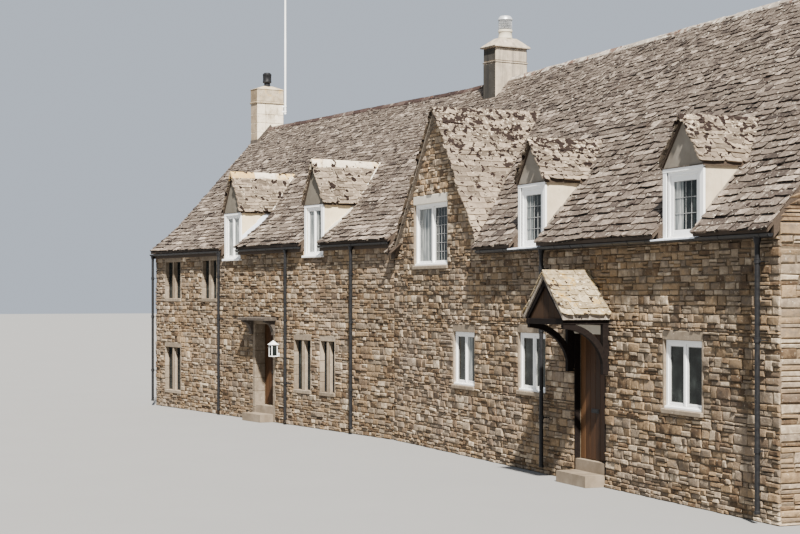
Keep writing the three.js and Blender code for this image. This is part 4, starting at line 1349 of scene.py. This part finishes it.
def clay_pot():
    x = (STACK_MIDDLE[0] + STACK_MIDDLE[1]) / 2
    foot = STACK_MIDDLE[4] + FLAUNCH - 0.004
    mass = Mass("clay_pot", "left")
    profile = [(0.150, foot), (0.152, foot + 0.03), (0.143, foot + 0.045), (0.138, 8.46), (0.143, 8.475),
               (0.152, 8.485), (0.152, 8.515), (0.146, 8.53), (0.125, 8.53), (0.122, 8.50), (0.01, 8.50)]
    lathe(mass, profile, x, HALF, 32)
    mass.piece("clay", replaces=("chimney_pot_middle",))
    mesh_cowl(x)


def mesh_cowl(x):
    """Upright wires and hoops, with a metal cap."""
    wire = Mass("mesh_cowl", "left")
    radius = 0.142
    for c, s in circle(36):
        wire_x, wire_y = x + radius * c, HALF + radius * s
        rod(wire, (wire_x, wire_y, 8.515), (wire_x, wire_y, 8.745), 0.0028, 5)
    hoops = 7
    for i in range(hoops):
        z = 8.525 + 0.035 * i
        hoop = [(radius + 0.002, z - 0.002), (radius + 0.004, z), (radius + 0.002, z + 0.002),
                (radius - 0.002, z + 0.001), (radius - 0.002, z - 0.001)]
        lathe(wire, hoop, x, HALF, 28)
    cap = [(0.156, 8.738), (0.158, 8.746), (0.152, 8.762), (0.135, 8.795), (0.110, 8.822), (0.06, 8.829),
           (0.008, 8.83)]
    lathe(wire, cap, x, HALF, 32)
    wire.piece("metal")


def aerial():
    x = STACK_LEFT[1] + 0.045
    y = HALF + STACK_LEFT[2] + 0.045
    mass = Mass("mast", "left")
    lathe(mass, [(0.026, 7.80), (0.026, 9.85), (0.0235, 9.86), (0.0235, 11.29), (0.012, 11.30)], x, y, 16)
    for z in (7.87, 8.01):
        block(mass, (STACK_LEFT[1] - 0.002, y - 0.085, z - 0.02),
              (STACK_LEFT[1] + 0.010, y + 0.01, z + 0.02), 0.003)
        block(mass, (STACK_LEFT[1], y - 0.014, z - 0.008), (x - 0.01, y + 0.014, z + 0.008), 0.003)
        lathe(mass, [(0.032, z - 0.018), (0.032, z + 0.018)], x, y, 16)
    mass.piece("white", "pale_metal", replaces=("aerial_mast",))


# Doors

def boarded_door(name, side, door):
    """Upright boards on three ledges."""
    x0, x1, head, back = door
    left, right = x0 + LEAF_CLEAR, x1 - LEAF_CLEAR
    low, high = FLOOR_TOP + LEAF_CLEAR, head - LEAF_CLEAR
    mass = Mass(f"{name}_boards", side)
    count = 6
    step = (right - left) / count
    for i in range(count):
        a = left + i * step
        block(mass, (a + 0.0008, back, low), (a + step - 0.0008, back + 0.030, high), 0.006)
    for z in (low + 0.18, (low + high) / 2, high - 0.26):
        block(mass, (left + 0.09, back + 0.030, z), (right - 0.04, back + 0.049, z + 0.13), 0.006)
    mass.piece("oak", body=name, replaces=(name,))
    ironwork(name, side, left, right, back)


def ironwork(name, side, left, right, back):
    """Strap hinges on the inside, a latch plate with a ring handle and a letter plate."""
    iron = Mass(f"{name}_ironwork", side)
    pin = (left + 0.022, back + LEAF)
    for z in (0.65, 1.95):
        block(iron, (pin[0] + 0.012, back + 0.049, z - 0.02),
              (pin[0] + 0.52, back + 0.055, z + 0.02), 0.002)
        lathe(iron, [(0.013, z + 0.002), (0.013, z + 0.05)], *pin, 16)
    latch = right - 0.09
    block(iron, (latch - 0.018, back - 0.004, 1.28), (latch + 0.018, back + 0.002, 1.44), 0.003)
    rod(iron, (latch, back - 0.035, 1.38), (latch, back, 1.38), 0.007, 12)
    ring = [(latch + 0.033 * s, back - 0.035, 1.345 + 0.033 * c) for c, s in circle(14)]
    for start, end in zip(ring, ring[1:] + ring[:1]):
        rod(iron, start, end, 0.0055)
    middle = (left + right) / 2
    block(iron, (middle - 0.12, back - 0.006, 1.08), (middle + 0.12, back + 0.002, 1.145), 0.004)
    block(iron, (middle - 0.095, back - 0.010, 1.092), (middle + 0.095, back - 0.004, 1.133), 0.003)
    iron.piece("iron", body=name)


def left_doorway():
    """Dressed jambs and lintel, with a deep reveal."""
    x0, x1, head, back = LEFT_DOOR
    mass = Mass("left_doorway", "left")
    for sign, edge in ((-1, x0), (1, x1)):
        jamb_stones(mass, FRONT, edge, sign, 0.0, head, (0.26, 0.42), 0.15, (DOOR_JAMB, 0.11),
                    -back + 0.004, 0.014, 0.008)
    block(mass, (x0 - DOOR_JAMB, head - 0.004, -back + 0.004),
          (x1 + DOOR_JAMB, head + 0.075, 0.014), 0.006, FRONT.at)
    mass.piece("dressed")
    stone_hood()


def stone_hood():
    x0, x1, top, thick, out = HOOD
    under = top - thick
    mass = Mass("door_hood", "left")
    section = [(-out, under), (-out, top - 0.018), (-out + 0.012, top - 0.008), (-0.001, top + 0.004),
               (-0.001, under), (-out + 0.03, under), (-out + 0.022, under + 0.008)]
    prism(mass, section, x0, x1, along_x)
    drop, rise, reach, steps = 0.33, 0.29, out - 0.12, 12
    for start in (x0 + 0.07, x1 - 0.20):
        curve = [(-0.001, under), (-0.001, under - drop)]
        for i in range(steps + 1):
            angle = i / steps * math.pi / 2
            curve.append((-0.06 - reach * (1 - math.cos(angle)), under - drop + rise * math.sin(angle)))
        curve.append((-out + 0.06, under))
        prism(mass, curve, start, start + 0.13, along_x)
    mass.piece("dark_stone", replaces=("left_door_hood",))


def right_doorway():
    x0, x1, head, back = RIGHT_DOOR
    mass = Mass("right_door_lintel", "right")
    block(mass, (x0 - DOOR_JAMB, -0.012, head - 0.003), (x1 + DOOR_JAMB, 0.085, head + 0.14), 0.006)
    mass.piece("pale_stone")
    mass = Mass("right_doorway", "right")
    for a, b in ((x0 - 0.02, x0 + 0.003), (x1 - 0.003, x1 + 0.02)):
        block(mass, (a, -0.010, 0.02), (b, back - 0.005, head), 0.004)
    mass.piece("tarred")
    porch()


def porch():
    """The timbers of the porch: a gable over beams, posts and curved braces."""
    mass = Mass("porch_timbers", "right")
    beam_top = PORCH_TIP - 0.06
    inner = PORCH_HALF - 0.045
    porch_gable(mass, beam_top)
    block(mass, (PORCH_X - inner, -PORCH_OUT + 0.03, beam_top - 0.09),
          (PORCH_X + inner, -PORCH_OUT + 0.03 + POST, beam_top), 0.006)
    for left in (PORCH_X - inner, PORCH_X + inner - POST):
        porch_side(mass, left, beam_top)
    mass.piece("tarred", replaces=("porch_frame",))


def porch_gable(mass, beam_top):
    """Upright boards behind two barge boards."""
    x, out = PORCH_X, PORCH_OUT
    reach = (PORCH_APEX - PORCH_DROP - 0.001 - beam_top) / PORCH_FALL
    boards = Mass("porch_gable_boards", "right")
    count = 7
    for i in range(count):
        a = x - reach + 2 * reach * i / count
        b = a + 2 * reach / count - 0.004
        tops = [beam_top + max(0.004, (reach - abs(u - x)) * PORCH_FALL) for u in (a, b)]
        outline = [(a, beam_top - 0.002), (b, beam_top - 0.002), (b, tops[1]), (a, tops[0])]
        prism(boards, outline, -out + 0.060, -out + 0.080, along_y)
    boards.piece("gable_boards")
    for sign in (-1, 1):
        tops = [(x + sign * u, PORCH_APEX - PORCH_DROP - 0.002 - u * PORCH_FALL) for u in (0.0, reach)]
        barge = [*tops, (tops[1][0] - sign * 0.075, beam_top - 0.004), (x, tops[0][1] - 0.115)]
        prism(mass, barge, -out + 0.026, -out + 0.058, along_y)


def porch_side(mass, left, beam_top):
    """A beam, a post against the wall and a curved brace, with two pegs."""
    foot = 1.76
    rise, run = beam_top - 0.06 - foot, PORCH_OUT - 0.06
    steps = 14
    turns = [i / steps * math.pi / 2 for i in range(steps + 1)]
    arc = [(-0.02 - run * (1 - math.cos(t)), foot + rise * math.sin(t)) for t in turns]
    arc += [(-0.02 - POST - (run - POST) * (1 - math.cos(t)), foot + (rise - POST) * math.sin(t))
            for t in turns[::-1]]
    right = left + POST
    block(mass, (left - 0.004, -PORCH_OUT + 0.022, beam_top - 0.086),
          (right + 0.004, -0.001, beam_top - 0.004), 0.006)
    block(mass, (left, -POST - 0.03, 1.70), (right, -0.001, beam_top - 0.002), 0.006)
    prism(mass, arc, left + 0.006, right - 0.006, along_x)
    for y, z in ((-PORCH_OUT + 0.075, beam_top - 0.045), (-0.075, beam_top - 0.13)):
        rod(mass, (left - 0.004, y, z), (right + 0.004, y, z), 0.011, 10)


def lantern():
    x, y, side = -5.105, -0.14, 0.066
    mass = Mass("lantern_frame", "left")
    for a, b in product((-1, 1), repeat=2):
        at_x, at_y = x + a * side, y + b * side
        block(mass, (at_x - 0.008, at_y - 0.008, 1.505), (at_x + 0.008, at_y + 0.008, 1.765), 0.002)
    for z0, z1, out in ((1.50, 1.518, 0.076), (1.755, 1.775, 0.08)):
        block(mass, (x - out, y - out, z0), (x + out, y + out, z1), 0.003)
    for z0, z1, r0, r1 in ((1.775, 1.812, 0.098, 0.05), (1.812, 1.85, 0.05, 0.018)):
        frustum(mass, x, y, (r0, r0, z0), (r1, r1, z1))
    lathe(mass, [(0.009, 1.845), (0.014, 1.856), (0.010, 1.866), (0.003, 1.87)], x, y, 12)
    block(mass, (x - 0.012, -0.15, 1.56), (x + 0.012, -0.001, 1.585), 0.003)
    block(mass, (x - 0.045, -0.018, 1.50), (x + 0.045, -0.001, 1.65), 0.004)
    mass.piece("white", replaces=("wall_lantern",))
    panes = Mass("lantern_panes", "left")
    for a in (-1, 1):
        at_x, at_y = x + a * side, y + a * side
        block(panes, (at_x - 0.0015, y - 0.058, 1.518), (at_x + 0.0015, y + 0.058, 1.755), 0.0004)
        block(panes, (x - 0.058, at_y - 0.0015, 1.518), (x + 0.058, at_y + 0.0015, 1.755), 0.0004)
    panes.piece("glass")


# Rainwater goods

def gutter(name, side, x0, x1, pipes):
    eaves = ROOFS[side][0][1]
    top = eaves - SLATE_EDGE - 0.012
    y = FASCIA_Y - 0.0005 - GUTTER
    mass = Mass(f"{name}_iron", side)

    def ring(radius, steps=16):
        return [(y + radius * math.cos(t), top + radius * math.sin(t))
                for t in (math.pi + i / steps * math.pi for i in range(steps + 1))]

    def trough(start, end, outer, inner, steps=16):
        prism(mass, ring(outer, steps) + ring(inner, steps)[::-1], start, end, along_x)

    trough(x0, x1, GUTTER, GUTTER - 0.006)
    for x in (x0, x1):
        prism(mass, ring(GUTTER), *sorted((x, x + (0.006 if x == x0 else -0.006))), along_x)
    count = max(1, round((x1 - x0) / 1.8))
    for i in range(1, count):
        x = x0 + (x1 - x0) * i / count
        trough(x - 0.035, x + 0.035, GUTTER + 0.005, GUTTER - 0.002)
    count = max(2, round((x1 - x0) / 0.9))
    for i in range(count):
        x = x0 + 0.2 + (x1 - x0 - 0.4) * i / (count - 1)
        trough(x - 0.012, x + 0.012, GUTTER + 0.004, GUTTER - 0.001, 10)
        block(mass, (x - 0.012, FASCIA_Y - 0.006, top - 0.05),
              (x + 0.012, FASCIA_Y - 0.0005, top + 0.02), 0.002)
    for x in pipes:
        downpipe(mass, x, FASCIA_Y - PIPE - 0.008, top - GUTTER + 0.012)
    mass.piece("iron", replaces=(name,))


def downpipe(mass, x, y, top):
    lathe(mass, [(PIPE, 0.13), (PIPE, top)], x, y, 18)
    lathe(mass, [(PIPE + 0.004, 0.12), (PIPE + 0.006, 0.13), (PIPE + 0.006, 0.16), (PIPE, 0.165)], x, y, 18)
    lathe(mass, [(PIPE, top - 0.09), (PIPE + 0.014, top - 0.05), (PIPE + 0.016, top)], x, y, 18)
    for z in (0.92, 2.32, 3.32):
        collar = [(PIPE, z - 0.03), (PIPE + 0.009, z - 0.026), (PIPE + 0.009, z + 0.02),
                  (PIPE + 0.012, z + 0.024), (PIPE + 0.012, z + 0.034), (PIPE, z + 0.036)]
        lathe(mass, collar, x, y, 18)
        block(mass, (x - PIPE - 0.03, y - 0.006, z - 0.018), (x + PIPE + 0.03, y + 0.006, z + 0.018), 0.003)
        for sign in (-1, 1):
            rod(mass, (x + sign * (PIPE + 0.02), y, z), (x + sign * (PIPE + 0.02), -0.001, z), 0.006)


# Scene

def dress_nodes():
    """Materials of the CAD nodes that still show."""
    for name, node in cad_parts.items():
        if "wall" in name and "lantern" not in name and "dormer" not in name:
            finish_name = "mortar"
        elif name in ("dormer_1_walls", "dormer_2_walls"):
            finish_name = "pale_render"
        elif name.startswith("dormer") and name.endswith("walls"):
            finish_name = "render"
        # On the dormer roofs this dark look is painted shade along the slab edges under the slates.
        elif name.startswith(("roof_front", "roof_back", "dormer")) and "roof" in name:
            finish_name = "fascia_and_edge_shade"
        elif "roof" in name:
            finish_name = "slate_edge"
        elif name.startswith("upper_floor"):
            finish_name = "boards"
        elif name.startswith("ground_floor"):
            finish_name = "flags"
        else:
            finish_name = "dressed"
        for slot in node.material_slots:
            slot.material = MATERIALS[finish_name]


def floor():
    size = 220
    mesh = bpy.data.meshes.new("floor")
    mesh.from_pydata([(size * a, size * b, -0.002) for a, b in SQUARE], [], [[0, 1, 2, 3]])
    paint = Paint("pale_floor")
    tint = paint.ramp(paint.noise(0.6, 3.0), [(0.175, 0.173, 0.169), (0.190, 0.188, 0.184)])
    paint.feed(paint.shader.inputs["Base Color"], tint)
    paint.shader.inputs["Roughness"].default_value = 0.9
    mesh.materials.append(paint.material)
    ground = bpy.data.objects.new("floor", mesh)
    bpy.context.scene.collection.objects.link(ground)


def lights():
    sun = bpy.data.lights.new("key", "SUN")
    sun.energy = SUN_POWER
    sun.angle = math.radians(2)
    sun.color = SUN_COLOUR
    key = bpy.data.objects.new("key", sun)
    key.rotation_euler = Vector(SUN_FROM).to_track_quat("Z", "Y").to_euler()
    bpy.context.scene.collection.objects.link(key)
    world = bpy.data.worlds.new("studio")
    world.use_nodes = True
    sky = world.node_tree.nodes["Background"]
    sky.inputs["Color"].default_value = SKY_COLOUR
    sky.inputs["Strength"].default_value = SKY_POWER
    bpy.context.scene.world = world


def camera():
    lens = bpy.data.cameras.new("camera")
    lens.sensor_width = 36
    lens.lens = LENS
    lens.shift_y = LENS_SHIFT
    lens.clip_end = 600
    eye = bpy.data.objects.new("camera", lens)
    eye.location = PIVOT @ Vector(EYE)
    eye.rotation_euler = (math.pi / 2, 0, math.radians(EYE_TURN))
    bpy.context.scene.collection.objects.link(eye)
    bpy.context.scene.camera = eye


dress_nodes()
roofs()
small_roofs()
ridges()
walls()
mullion_windows()
white_windows()
for dormer_name, (*dormer_values, _) in DORMERS.items():
    dormer(dormer_name, *dormer_values)
chimney_left()
chimney_middle()
chimney_flashings()
black_pot()
clay_pot()
aerial()
boarded_door("left_door", "left", LEFT_DOOR)
boarded_door("right_door", "right", RIGHT_DOOR)
left_doorway()
right_doorway()
lantern()
for gutter_name, gutter_values in GUTTERS.items():
    gutter(gutter_name, *gutter_values)
floor()
lights()
camera()
